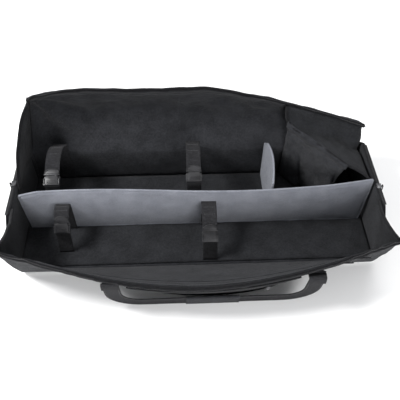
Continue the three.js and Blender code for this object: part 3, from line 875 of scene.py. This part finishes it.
def hood_trim(inner, middle, outer):
    """Edge binding, zip half and stitching along the hood's free edge, and piping down its end seams."""
    edge = middle[-1]
    binding = tube("hood_edge_binding", resampled(edge, 5), 4.4, BINDING, flatten=0.9)
    finish_piece(binding, "webbing", "hood")
    up = outward_from(edge, middle[-3])
    lines = [edge + up * away for away in ZIP_REACH]
    zip_run("hood_zip", *lines, up, 13, "hood", replaces=["zip_tape_hood"])
    rows = [(inner + normals(inner) * 0.4)[k, 2:-2] for k in (-3, -5)]
    rows += [(outer - normals(outer) * 0.4)[k, 2:-2] for k in (-3, -5)]
    finish_piece(stitching("hood_stitching", rows), "webbing", "hood")
    for word, column in (("left", 0), ("right", -1)):
        line = (inner[:, column] + middle[:, column]) / 2
        piping(f"hood_{word}_seam_piping", line, SEAM_PIPING, "hood", HOOD_FOLD)


def coons(left, right, bottom_line, top_line, columns, rows):
    """A lattice filling four border curves, each a function of a share."""
    u, v = np.meshgrid(shares(columns, 0.3), shares(rows, 0.3))
    u, v = u[..., None], v[..., None]
    sides = (1 - u) * left(v[..., 0]) + u * right(v[..., 0])
    ends = (1 - v) * bottom_line(u[..., 0]) + v * top_line(u[..., 0])
    corner = (1 - u) * ((1 - v) * left(v[..., 0] * 0) + v * left(v[..., 0] * 0 + 1))
    corner = corner + u * ((1 - v) * right(v[..., 0] * 0) + v * right(v[..., 0] * 0 + 1))
    return sides + ends - corner


def through(*stops):
    """A smooth curve through points, as a function of a share."""
    stops = np.array(stops, float)
    fine = rounded_path(stops, 4, 4)
    even = np.linspace(0, 1, len(fine))

    def line(share):
        return np.stack([np.interp(share, even, fine[:, k]) for k in range(3)], -1)
    return line


def hood_left_gusset():
    x = -HOOD_HALF + 1

    def seam(t):
        y, z = hood_profile(-HOOD_HALF, t)
        return np.stack(np.broadcast_arrays(-hood_reach(-HOOD_HALF, t), y, z), -1)
    tip = (x + 25, 158, 275)
    free = through((x, 4, 136), (x - 1, 10, 164), (x + 4, 66, 222), (x + 14, 120, 262), tip)
    foot = through((x, 157, 122), (x, 140, 104), (x, 108, 122), (x, 70, 134), (x, 4, 136))
    head = through(tuple(seam(np.array(1.0))), tip)
    points = coons(seam, free, foot, head, 40, 34)
    bulge = np.sin(np.pi * shares(40, 0.3))[None] * np.sin(np.pi * shares(34, 0.3))[:, None]
    points[..., 0] += 7 * bulge + wrinkles(points, 55, 6, seed=31) * bulge
    points[..., 0] = np.maximum(points[..., 0], -HOOD_HALF - 1)
    panel = slab("hood_left_gusset_fabric", points, GUSSET_THICKNESS, INNER, side=1, edge=9, least=0.5)
    finish_padded(panel, "shell_fabric", "hood", ["hood_left_gusset"], HOOD_FOLD)
    edge = points[:, -1]
    out = outward_from(edge, points[:, -3])
    piping("hood_left_gusset_binding", edge, 4.0, "hood", HOOD_FOLD)
    lines = [edge + out * away for away in GUSSET_ZIP_REACH]
    zip_run("hood_left_gusset_zip", *lines, out, 12, "hood", key=2, bends=HOOD_FOLD)


RIDGE = ((435, -22, 138), (430, -16, 160), (402, -2, 175), (372, 14, 182), (340, 48, 190),
         (310, 82, 195), (275, 118, 197), (248, 142, 202), (238, 152, 226), (236, 153, 262))


def hood_right_gusset():
    """The right end of the hood, folded in: a sheet from the end seam to a ridge across the corner."""
    def seam(t):
        y, z = hood_profile(HOOD_HALF, t)
        return np.stack(np.broadcast_arrays(hood_reach(HOOD_HALF, t), y, z), -1)

    def head(share):
        x = mix(HOOD_HALF, RIDGE[-1][0], share)
        y, z = hood_profile(x, 0.985)
        return np.stack([x * hood_reach(HOOD_HALF, 0.985) / HOOD_HALF, y - 2.5, z], -1)
    ridge = through(*RIDGE)
    foot = through((437, 157, 122), (437, 140, 104), (437, 108, 122), (437, 60, 134), (435, -22, 138))
    points = coons(seam, ridge, foot, head, 56, 60)
    inside = np.sin(np.pi * shares(56, 0.3))[None] * np.sin(np.pi * shares(60, 0.3))[:, None]
    end = points[:, 0, 1]
    chord = mix(end[0], end[-1], shares(60, 0.3))
    roll = np.sin(np.pi * shares(56, 0.3) ** 0.3)[None] ** 2
    points[..., 1] += 1.5 * (chord - end)[:, None] * roll
    points[..., 0] += 10 * np.sin(np.pi * shares(60, 0.3))[:, None] * roll
    bearing = points[..., 0] / 26 + points[..., 1] / 60
    points[..., 2] += inside * (wrinkles(points, 70, 12, (1, 1.2, 1), 41) + 3 * np.sin(bearing) - 8)
    room = np.clip(points[..., 2] - END_TOP - 4, 0, 10)
    points[..., 0] = np.minimum(points[..., 0], HOOD_HALF + 1 + room)
    panel = slab("hood_right_gusset_fabric", points, GUSSET_THICKNESS, INNER, side=1, edge=9, least=0.5)
    finish_padded(panel, "shell_fabric", "hood", ["hood_right_gusset"], HOOD_FOLD)
    piping("hood_right_gusset_binding", points[:, -1], 3.6, "hood", HOOD_FOLD)
    curtain(ridge)


def curtain(ridge):
    """The gusset's loose fabric, which rolls over the ridge and hangs into the compartment."""
    rows, columns = 60, 70
    u, v = np.meshgrid(shares(columns, 0.3), shares(rows, 0.3))
    top = ridge(mix(0.26, 0.86, u))
    over = np.sin(np.pi * np.clip(v * 10, 0, 1))
    pleats = (2 + 15 * v) * np.sin(3.4 * np.pi * u + 1.8 * v + 0.6) * np.clip(4 * v, 0, 1)
    pleats += 5 * v * np.sin(8.1 * np.pi * u - 2.2 * v)
    ends = np.clip((0.12 - u) / 0.12, 0, 1)
    x = top[..., 0] - 0.5 * pleats - 18 * ends * v
    y = top[..., 1] - 7 * over - 12 * v + pleats + 26 * ends * v
    z = mix(top[..., 2] + 1.5 * over, floor_high[2] + 8, v)
    points = np.stack([np.maximum(x, cross_high[0] + 10), np.clip(y, divider_high[1] + 6, 140), z], -1)
    points = points + normals(points) * wrinkles(points, 55, 5, seed=51)[..., None]
    panel = slab("hood_gusset_fold", points, 5.0, SHELL, side=1, edge=9, least=0.5)
    finish_padded(panel, "shell_fabric", "hood", bends=HOOD_FOLD)


# ---- front flap ----------------------------------------------------------------------------------


def flap_lattice(span, height, columns, rows, ends=0.4):
    def sheet(u, v):
        x = mix(span[0], span[1], u)
        y, z = flap_profile(x, mix(height[0], height[1], v))
        return x, y, z
    return lattice(sheet, columns, rows, ends)


def flap_panel():
    points = flap_lattice((-FLAP_HALF, FLAP_HALF), (0.0, 1.0), 120, 36)
    points = points - normals(points) * np.maximum(flap_waves(points), -2)[..., None] * flap_free(points)
    panel = slab("flap_panel_fabric", points, PAD, SHELL, side=1, edge=12, least=0.5)
    finish_padded(panel, "shell_fabric", "front_flap", ["front_flap_panel"], FLAP_FOLD)
    middle = points + normals(points) * PAD / 2
    rim = middle[-1]
    piping("flap_edge_binding", rim, 4.6, "front_flap")
    up = outward_from(rim, middle[-3])
    lines = [rim + up * away for away in ZIP_REACH]
    zip_run("flap_zip", *lines, up, 13, "front_flap", replaces=["zip_tape_flap"])
    inner, outer = points - normals(points) * 0.5, points + normals(points) * (PAD + 0.4)
    seams = [inner[k, 2:-2] for k in (-4, -8)] + [outer[-4, 2:-2]]
    finish_piece(stitching("flap_stitching", seams), "webbing", "front_flap")
    for k, row in enumerate((-3, -9)):
        cord = tube(f"flap_rim_cord_{k}", resampled(inner[row, 1:-1], 6), 1.1, SHELL)
        finish_piece(cord, "shell_fabric", "front_flap")


def flap_free(points):
    """1 where nothing is sewn on the flap's outer face, less under the bands and pocket."""
    x = points[..., 0]
    pocket = (x > POCKET_SPAN[0] - 20) & (x < POCKET_SPAN[1] + 20)
    bands = np.min([np.abs(x - centre) for centre in HANDLE_X], axis=0) < 36
    return np.where(pocket | bands, 0.25, 1.0)[..., None]


def flap_gusset(word, side):
    """The fan of fabric between the flap's end and the end panel."""
    def seam(t):
        y, z = flap_profile(FLAP_HALF, t)
        return np.stack(np.broadcast_arrays(side * FLAP_HALF, y, z), -1)
    x = side * FLAP_HALF
    low, high = (x, -151, 14), (x, -80, 152)
    wall = through(low, (x, -149, 62), (x, -137, 114), (x, -99, 150), high)
    foot = through((x, *FLAP_FOOT), low)
    head = through(tuple(seam(np.array(1.0))), (x, -158, 178), high)
    points = coons(seam, wall, foot, head, 36, 40)
    inside = np.sin(np.pi * shares(36, 0.3))[None] * shares(40, 0.3)[:, None]
    points[..., 0] -= side * inside * (11 + wrinkles(points, 70, 6, seed=61 + side))
    panel = slab(f"flap_{word}_gusset_fabric", points, GUSSET_THICKNESS, INNER, side=side, edge=9, least=0.5)
    finish_padded(panel, "shell_fabric", "front_flap", [f"flap_{word}_gusset"], FLAP_GUSSET_FOLD)
    piping(f"flap_{word}_gusset_binding", points[-1], 3.6, "front_flap", FLAP_GUSSET_FOLD)
    piping(f"flap_{word}_seam_piping", points[:, 0], 2.6, "front_flap", FLAP_FOLD)


# ---- pocket --------------------------------------------------------------------------------------


def pocket_back(u, v):
    x = mix(POCKET_SPAN[0], POCKET_SPAN[1], u)
    y, z = flap_profile(x, mix(POCKET_HEIGHT[0], POCKET_HEIGHT[1], v))
    return x, y, z


def pocket_face_lattice(columns, rows, span=((0, 1), (0, 1)), ends=0.3):
    """The pocket's outer face: fullest low down, closing on the flap at the top and at both ends."""
    (u0, u1), (v0, v1) = span

    def sheet(u, v):
        return pocket_back(mix(u0, u1, u), mix(v0, v1, v))
    points = offset_lattice(lattice(sheet, columns, rows, ends), PAD + SURFACE_GAP)
    u, v = np.meshgrid(mix(u0, u1, shares(columns, ends)), mix(v0, v1, shares(rows, ends)))
    full = np.sin(np.pi * np.clip(u, 0.02, 0.98)) ** 0.3
    points[..., 1] -= 4 + POCKET_BULGE * full * (0.04 + 0.96 * (1 - v))
    points[..., 2] -= POCKET_SAG * full * (1 - v)
    return points


def front_pocket():
    back = offset_lattice(lattice(pocket_back, 60, 24, 0.3), PAD + SURFACE_GAP)
    face = pocket_face_lattice(60, 24)
    rows, columns = face.shape[:2]
    quads, walls = slab_faces(rows, columns)
    faces = np.concatenate([quads[:, ::-1], quads + rows * columns, walls[:, [1, 0, 3, 2]]])
    points = np.concatenate([back.reshape(-1, 3), face.reshape(-1, 3)])
    unused_uvs = np.zeros((faces.size, 2))
    pocket = make_object("front_pocket_fabric", points, faces.tolist(), unused_uvs, SHELL)
    sewn = np.concatenate([resampled(perimeter(face), 5), back.reshape(-1, 3)])
    inflated(pocket, sewn, voxel=5.0, pressure=3.0, cap=5.0, hold=5.0)
    finish_padded(pocket, "shell_fabric", "front_flap", ["front_pocket"])
    closed_piping("pocket_piping", perimeter(face), 2.4, "front_flap")
    pocket_zip()


def pocket_zip():
    strip = offset_lattice(pocket_face_lattice(60, 6, ((0.08, 0.92), (0.81, 0.91))), 1.4)
    middle, out = strip[3], normals(strip)[3]
    across = outward_from(strip[-1], strip[0])
    finish = {"thickness": 1.8, "replaces": ["pocket_zip"]}
    zip_run("pocket_zip", middle, middle + out * 1.6, across, 17, "front_flap", **finish)
    seams = [middle + across * sideways + out * 1.1 for sideways in (7, -7)]
    finish_piece(stitching("pocket_zip_stitching", seams), "webbing", "front_flap")


# ---- webbing: bands, tabs and handles ------------------------------------------------------------


def band_path(x, height, gap, step=6):
    """A line up the flap's outer face at the length x, with the way across it."""
    points = offset_lattice(flap_lattice((x - 10, x + 10), height, 4, 40), PAD + gap)
    return resampled(points[:, 2], step)


def box_stitches(builder, path, across, half, start, length):
    """A sewn box with a cross in it, on a tape that follows path."""
    steps = np.cumsum(np.concatenate([[0], np.linalg.norm(np.diff(path, axis=0), axis=1)]))

    def at(distance, sideways):
        centre = np.array([np.interp(distance, steps, path[:, k]) for k in range(3)])
        return centre + np.asarray(across) * sideways
    corners = [at(start, -half), at(start, half), at(start + length, half), at(start + length, -half)]
    for a, b in ((0, 1), (1, 2), (2, 3), (3, 0), (0, 2), (1, 3)):
        line = between(corners[a], corners[b], np.linspace(0, 1, 8)[:, None])
        add_stitches(builder, line, *SHORT_STITCH)


def sew_band(builder, line):
    """A row of stitches along each selvedge of a band, and a sewn box at its top."""
    for sideways in (-15.5, 15.5):
        add_stitches(builder, line + np.array([sideways, 0, 0]), *LONG_STITCH)
    box_stitches(builder, line[::-1], (1, 0, 0), 13, 4, 30)


def handle_root(word, x, name, body, y, z, outward):
    """A sewn loop of webbing round the top of a handle's leg, coming from the panel behind it."""
    loop = [(-3.2, -30), (-3.4, -6), (-1.5, 5), (2.2, 6), (4.4, 1), (4.0, -14)]
    stops = [(x, y + outward * s, z + up) for s, up in loop]
    if body == "front_flap":
        band = band_path(x, POCKET_HEIGHT, SURFACE_GAP + WEBBING_THICKNESS)
        nearest = np.argmin(np.linalg.norm(band - np.array([x, y, z + 6]), axis=1))
        stops = [tuple(band[nearest - 4]), tuple(band[nearest]), *stops[2:]]
    path = rounded_path(stops, 2.5, 2)
    piece = tape(f"{name}_root_{word}", path, (1, 0, 0), WEBBING_WIDTH + 2, WEBBING)
    finish_piece(piece, "webbing", body)


def front_bands():
    stitches = Builder()
    for word, x in zip(("left", "right"), HANDLE_X):
        path = band_path(x, (0.1, 0.97), SURFACE_GAP + WEBBING_THICKNESS / 2)
        band = tape(f"front_band_{word}", path, (1, 0, 0), WEBBING_WIDTH, WEBBING)
        finish_node(band, "webbing", f"handle_band_front_{word}")
        lifted = band_path(x, (0.1, 0.97), SURFACE_GAP + WEBBING_THICKNESS + 0.3)
        sew_band(stitches, lifted)
    for word, x, width in RIM_TABS:
        path = band_path(x, (0.9, 0.99), SURFACE_GAP + WEBBING_THICKNESS / 2, 3)
        tab = tape(f"rim_tab_{word}_webbing", path, (1, 0, 0), width, WEBBING)
        finish_node(tab, "webbing", f"rim_tab_{word}")
    finish_piece(stitches.done("front_band_stitching", THREAD), "webbing", "front_flap")


def back_bands():
    stitches = Builder()
    for word, x in zip(("left", "right"), HANDLE_X):
        low, high = node_box(f"handle_band_back_{word}")
        y = (low[1] + high[1]) / 2
        path = resampled([(x, y, low[2]), (x, y, high[2])], 8)
        band = tape(f"back_band_{word}", path, (-1, 0, 0), WEBBING_WIDTH, WEBBING)
        finish_node(band, "webbing", f"handle_band_back_{word}")
        lifted = path + np.array([0, WEBBING_THICKNESS / 2 + 0.3, 0])
        sew_band(stitches, lifted)
    finish_piece(stitches.done("back_band_stitching", THREAD), "webbing", "root")


def handle(name, node, top, bottom, outward):
    """A carrying handle: webbing with rounded turns, doubled and sewn along its grip."""
    drop = math.dist(top, bottom)
    depth = drop - WEBBING_WIDTH / 2
    turn_x, turn_z = HANDLE_HALF - HANDLE_TURN, HANDLE_TURN - depth
    half = [(HANDLE_HALF, 0), (HANDLE_HALF, turn_z)]
    for angle in np.linspace(0, math.pi / 2, 9):
        half.append((turn_x + HANDLE_TURN * math.cos(angle), turn_z - HANDLE_TURN * math.sin(angle)))
    flat = [(-u, v) for u, v in half] + half[::-1]
    down = np.array([0, bottom[0] - top[0], bottom[1] - top[1]]) / drop
    origin = np.array([HANDLE_CENTRE, top[0], top[1]])
    out = np.cross([outward, 0, 0], -down)
    path = np.array([origin + np.array([u, 0, 0]) - down * v for u, v in flat])
    path = resampled(path, 6) + out * WEBBING_THICKNESS / 2
    along = tangents(path)
    across = np.cross(along, out)
    loop = tape(name, path, across, WEBBING_WIDTH, WEBBING, cup=-1.0)
    body = BODY_OF[node]
    finish_node(loop, "webbing", node)
    holder = next(joint["parent"] for joint in frame["joints"] if joint["child"] == body)
    for word, x in zip(("left", "right"), HANDLE_X):
        handle_root(word, x, name, holder, *top, -outward)
    stitches = Builder()
    for share in (-0.4, 0.4):
        for face in (WEBBING_THICKNESS / 2 + 0.1, -WEBBING_THICKNESS / 2 - 0.2):
            row = path + across * WEBBING_WIDTH * share + out * face
            add_stitches(stitches, row, *LONG_STITCH)
    finish_piece(stitches.done(f"{name}_stitching", THREAD), "webbing", body)
    grip = (np.abs(path[:, 0] - HANDLE_CENTRE) < 66) & (path[:, 2] < top[1] - depth * 0.8)
    wrap_path = resampled(path[grip], 5)
    wrap_across = np.cross(tangents(wrap_path), out)
    wrap = tape(f"{name}_grip_wrap", wrap_path, wrap_across, WEBBING_WIDTH + 3, SHELL, 7.0)
    finish_piece(wrap, "shell_fabric", body)


# ---- straps and buckles --------------------------------------------------------------------------

TONGUE, BUCKLE_BODY, SOCKET, BUCKLE_HALF = 17.0, 13.0, 25.0, 20.0


def buckle_place(x, point, direction):
    """The buckle's own frame: across the strap, along it towards the socket, and out."""
    along = Vector((0, direction[0], direction[1])).normalized()
    across = Vector((-1, 0, 0))
    out = across.cross(along)
    place = Matrix((across, along, out)).transposed().to_4x4()
    place.translation = (x, point[0], point[1])
    return place


def arc_outline(half, height, base, steps=16):
    """A half-moon on a straight base."""
    angles = np.linspace(0, math.pi, steps + 1)
    return [(half * math.cos(a), base - height * math.sin(a)) for a in angles]


def buckle_tongue(name, place):
    builder = Builder()
    half_moon = arc_outline(BUCKLE_HALF - 1, 13.5, -3.4)
    plate(builder, half_moon, -1.2, 4.2, 0.8, place)
    plate(builder, rounded_rectangle(2 * BUCKLE_HALF - 2, 4.4, 1.2, (0, -1.6)), -1.6, 3.4, 0.7, place)
    prong = [(7, 0), (13.4, 0), (14.6, 11), (9.4, TONGUE), (7.6, TONGUE - 1), (7.6, 4)]
    for side in (1, -1):
        outline = [(side * u, v) for u, v in prong][::side]
        plate(builder, outline, -0.8, 2.8, 0.5, place)
    plate(builder, rounded_rectangle(6, TONGUE - 4, 1.5, (0, TONGUE / 2 - 3)), -0.6, 2.4, 0.5, place)
    rim = [place @ Vector((u, v, 4.4)) for u, v in arc_outline(BUCKLE_HALF - 2.4, 12, -4.0)]
    builder.add(*sweep(np.array(rim), circle(1.3, 8), (0.2, 0.5, 0.8)))
    return builder.done(name, PLASTIC)


def buckle_socket(name, place):
    builder = Builder()
    middle = SOCKET / 2 + 0.8
    floor = rounded_rectangle(2 * BUCKLE_HALF, SOCKET, 4, (0, middle))
    plate(builder, floor, -4.6, -1.6, 0.9, place)
    lid = rounded_rectangle(2 * BUCKLE_HALF - 8, SOCKET - 1, 5, (0, middle + 0.5))
    plate(builder, lid, 2.6, 5.0, 0.9, place)
    for side in (-1, 1):
        rail = rounded_rectangle(3.4, SOCKET - 9, 1.2, (side * (BUCKLE_HALF - 2), middle + 3.5))
        plate(builder, rail, -1.8, 4.2, 0.6, place)
    for k in range(3):
        ridge = rounded_rectangle(22, 1.6, 0.7, (0, middle + 2 + 3.4 * k))
        plate(builder, ridge, 4.6, 5.9, 0.4, place)
    bar = rounded_rectangle(2 * BUCKLE_HALF, 4.2, 1.4, (0, SOCKET - 0.6))
    plate(builder, bar, -4.4, 4.6, 0.9, place)
    return builder.done(name, PLASTIC)


def strap(name, x, anchor_path, over, foot):
    """Sewn lower webbing, an upper webbing that lifts, a tongue on it, a socket and a tail."""
    over = np.asarray(over, float)
    direction = over[-1] - over[-2]
    direction /= np.linalg.norm(direction)
    seat = over[-1] + direction * (BUCKLE_BODY + 0.6)
    place = buckle_place(x, seat, direction)
    width = WEBBING_WIDTH - 1.5

    def line(points):
        return np.array([(x, y, z) for y, z in points], float)
    anchor = rounded_path(line(anchor_path), 5)
    lower = tape(f"{name}_lower_webbing", anchor, (1, 0, 0), width, WEBBING)
    finish_node(lower, "webbing", f"{name}_anchor")
    upper_line = [*over, over[-1] + direction * (BUCKLE_BODY - 6)]
    upper = tape(f"{name}_upper_webbing", rounded_path(line(upper_line), 4), (1, 0, 0), width, WEBBING)
    finish_node(upper, "webbing", f"{name}_webbing")
    finish_node(buckle_tongue(f"{name}_tongue", place), "buckle_plastic", f"{name}_buckle_tongue")
    finish_node(buckle_socket(f"{name}_socket", place), "buckle_plastic", f"{name}_buckle_socket")
    start = over[-1] + direction * (BUCKLE_BODY + SOCKET - 1)
    sag = between(start, foot, 0.5) + np.array([4.0, -3.0])
    tail_path = rounded_path(line([start, sag, foot]), 4)
    tail = tape(f"{name}_tail_webbing", tail_path, (1, 0, 0), width, WEBBING)
    finish_node(tail, "webbing", f"{name}_tail")
    stitches = Builder()
    lifted = rounded_path(line(over), 4) + np.array([0, 0, WEBBING_THICKNESS / 2 + 0.4])
    for share in (0.35, 0.62):
        at = int(len(lifted) * share)
        row = np.array([lifted[at] + np.array([s, 0, 0]) for s in np.linspace(-14, 14, 8)])
        add_stitches(stitches, row, *SHORT_STITCH)
    sewn = stitches.done(f"{name}_stitching", THREAD)
    finish_piece(sewn, "webbing", BODY_OF[f"{name}_webbing"])


def straps():
    tube_centre, radius = np.array([66.0, 97.0]), 84.0
    arch = [(138.0, 150.0)]
    for degrees in range(38, 119, 10):
        angle = math.radians(degrees)
        arch.append(tuple(tube_centre + radius * np.array([math.cos(angle), math.sin(angle)])))
    back = wall_low[1] - 1.8
    for name, x in (("tube_strap_left", -355), ("tube_strap_right", -5)):
        anchor = [(back, floor_high[2] + 1), (back, 100), (back, 128), (141, 146)]
        strap(name, x, anchor, arch, (divider_high[1] + 5, floor_high[2] + 1.8))
    front = divider_low[1] - 2.2
    tripod = (
        ("tripod_strap_left", -331, [(-39, 116), (-52, 121), (-66, 119), (-74, 111)], -110),
        ("tripod_strap_right", 30, [(-39, 116), (-64, 120), (-92, 113), (-106, 102)], -146),
    )
    for name, x, line, foot in tripod:
        anchor = [(front, floor_high[2] + 1), (front, 80), (front - 0.5, 112)]
        strap(name, x, anchor, line, (foot, floor_high[2] + 1.8))


# ---- zip ends, sliders, pulls --------------------------------------------------------------------


def slider_body(builder, place, length, width, height):
    """A slider: a pinched body and a bridge over it that holds the pull."""
    nose = [(-0.32, -0.5), (0.32, -0.5), (0.5, -0.12), (0.5, 0.5), (0.16, 0.5), (0, 0.3), (-0.16, 0.5),
            (-0.5, 0.5), (-0.5, -0.12)]
    outline = [(u * width, v * length) for u, v in nose]
    plate(builder, outline, 0.0, height * 0.26, 0.3, place)
    plate(builder, outline, height * 0.5, height * 0.76, 0.3, place)
    neck = rounded_rectangle(width * 0.2, length * 0.3, 0.4, (0, 0.05 * length))
    plate(builder, neck, 0.1, height * 0.7, 0, place)
    bridge = []
    for k in np.linspace(0, 1, 9):
        rise = height * (0.7 + 0.34 * math.sin(math.pi * k))
        bridge.append(place @ Vector((0, length * (k - 0.5) * 0.8, rise)))
    builder.add(*sweep(np.array(bridge), circle(0.8, 8), (1, 0.1, 0.1)))


def slider_frame(x_axis, y_axis, origin):
    x_axis, y_axis = Vector(x_axis).normalized(), Vector(y_axis).normalized()
    z_axis = x_axis.cross(y_axis).normalized()
    place = Matrix((x_axis, z_axis.cross(x_axis), z_axis)).transposed().to_4x4()
    place.translation = Vector(origin)
    return place


def end_zip(word):
    """The straight zip on top of an end panel."""
    low, high = node_box(f"zip_tape_{word}_end")
    x, z = (low[0] + high[0]) / 2, low[2]
    path = resampled([(x, low[1], z + 0.8), (x, high[1], z + 0.8)], 6)
    strip = tape(f"end_zip_tape_{word}", path, (1, 0, 0), high[0] - low[0] + 1, ZIP_TAPE, 1.6)
    finish_node(strip, "zip", f"zip_tape_{word}_end")
    lifted = path + np.array([0, 0, 1.6])
    teeth = zip_teeth(f"end_zip_teeth_{word}", lifted, (1, 0, 0), 5.5, TOOTH_PITCH, 1.6)
    finish_piece(teeth, "zip", "root")


def end_slider(word):
    low, high = node_box(f"zip_slider_{word}")
    width, length, height = high - low
    centre = ((low[0] + high[0]) / 2, (low[1] + high[1]) / 2, low[2])
    builder = Builder()
    slider_body(builder, slider_frame((1, 0, 0), (0, 1, 0), centre), length, width, height)
    finish_node(builder.done(f"slider_{word}", METAL), "slider_metal", f"zip_slider_{word}")


def end_pull(word):
    """A pull: a stiff loop of cord through the slider, and a moulded sleeve on its end."""
    low, high = node_box(f"zip_pull_{word}")
    x, y = (low[0] + high[0]) / 2, (low[1] + high[1]) / 2
    foot, top = low[2], high[2]
    leg = [(PULL_HALF, top), (PULL_HALF + 1, mix(top, foot, 0.5)), (PULL_HALF, foot + 3)]
    loop = [(x, y - away, up) for away, up in leg]
    loop += [(x, y, foot)]
    loop += [(x, y + away, up) for away, up in leg[::-1]]
    loop += [(x, y, top + 1)]
    ring = rounded_path([*loop, loop[0]], 2)[:-1]
    cord_loop = tube(f"pull_loop_{word}", ring, 1.3, WEBBING, closed=True, across=(1, 0.1, 0.1))
    finish_node(cord_loop, "webbing", f"zip_pull_{word}")
    sleeve = resampled([(x, y, foot + 12), (x, y, foot - 1)], 2)
    end = tube(f"pull_sleeve_{word}", sleeve, 2.6, PLASTIC, flatten=1.5, across=(1, 0, 0))
    finish_piece(end, "buckle_plastic", f"zip_pull_{word}")


def pocket_slider():
    low, high = node_box("pocket_slider")
    centre = (np.array(low) + np.array(high)) / 2
    face = pocket_face_lattice(60, 24)
    nearest = np.argmin(np.linalg.norm(face - centre, axis=-1))
    up = (face[-2] - face[-6]).reshape(-1, 3)[nearest % face.shape[1]]
    place = slider_frame((1, 0, 0), up, (0, 0, 0))
    outward = place.to_3x3() @ Vector((0, 0, 1))
    turned = slider_frame(up, (-1, 0, 0), Vector(centre) - outward * 1.6)
    builder = Builder()
    slider_body(builder, turned, 12, 8, 4.0)
    slider = builder.done("pocket_slider_metal", METAL)
    finish_node(slider, "slider_metal", "pocket_slider")
    pull = Builder()
    start = Vector(centre) + outward * 2.6
    hang = slider_frame((1, 0, 0), up, start)
    outline = [(-2.6, 0), (2.6, 0), (3.8, -20), (3.4, -25), (0, -27.5), (-3.4, -25), (-3.8, -20)]
    plate(pull, outline, -0.7, 0.9, 0.4, hang)
    ring = [hang @ Vector((u, v, 0.2)) for u, v in circle(2.2, 12)]
    pull.add(*sweep(np.array(ring), circle(0.6, 6), tuple(outward), closed=True))
    finish_node(pull.done("pocket_pull_metal", METAL), "slider_metal", "pocket_pull")


# ---- stage ---------------------------------------------------------------------------------------

FLOOR_HALF = 4000.0


def camera():
    azimuth, elevation, roll = -2.45, 50.4, 0.33
    target = Vector((0.008, -0.05, 0.133))
    distance = 1.309
    data = bpy.data.cameras.new("camera")
    data.lens = 47.98
    data.sensor_width = 36
    turn = Matrix.Rotation(math.radians(azimuth), 4, "Z")
    turn = turn @ Matrix.Rotation(math.radians(90 - elevation), 4, "X")
    turn = turn @ Matrix.Rotation(math.radians(roll), 4, "Z")
    made = bpy.data.objects.new("camera", data)
    made.matrix_world = Matrix.Translation(target + turn.to_3x3() @ Vector((0, 0, distance))) @ turn
    bpy.context.scene.collection.objects.link(made)
    bpy.context.scene.camera = made


def area_light(name, place, target, size, power):
    data = bpy.data.lights.new(name, "AREA")
    data.shape = "DISK"
    data.size = size
    data.energy = power
    made = bpy.data.objects.new(name, data)
    made.location = place
    made.rotation_euler = (Vector(target) - Vector(place)).to_track_quat("-Z", "Y").to_euler()
    bpy.context.scene.collection.objects.link(made)


def studio():
    world = bpy.data.worlds.new("studio")
    world.use_nodes = True
    world.node_tree.nodes["Background"].inputs["Color"].default_value = (0.93, 0.94, 0.96, 1)
    world.node_tree.nodes["Background"].inputs["Strength"].default_value = 0.6
    bpy.context.scene.world = world
    bpy.context.scene.view_settings.view_transform = "Standard"
    area_light("key", (-1.3, -0.2, 1.7), (0, 0, 0.1), 0.6, 58)
    area_light("top", (0.5, 0.6, 2.1), (0, 0, 0.1), 1.5, 18)
    area_light("front", (0.5, -2.1, 0.8), (0, 0.1, 0.15), 1.2, 46)
    floor_surface = Surface("studio_floor", 0.8)
    floor_surface.colour((0.86, 0.86, 0.86), (0.9, 0.9, 0.9), floor_surface.noise(2, 2))
    square = [(0, 0), (1, 0), (1, 1), (0, 1)]
    corners = [((2 * u - 1) * FLOOR_HALF, (2 * v - 1) * FLOOR_HALF, 0) for u, v in square]
    ground = make_object("studio_ground", corners, [(0, 1, 2, 3)], square, floor_surface.material)


# ---- the case ------------------------------------------------------------------------------------

camera()
studio()
bottom()
floor_pad()
end_panel("left", -1)
end_panel("right", 1)
main_divider()
cross_divider()
hood_trim(*hood_panel())
hood_left_gusset()
hood_right_gusset()
flap_panel()
flap_gusset("left", -1)
flap_gusset("right", 1)
front_pocket()
front_bands()
back_bands()
handle("front_handle_webbing", "handle_front", *FRONT_HANDLE, 1)
handle("back_handle_webbing", "handle_back", *BACK_HANDLE, -1)
straps()
for word in ("left", "right"):
    end_zip(word)
    end_slider(word)
    end_pull(word)
pocket_slider()
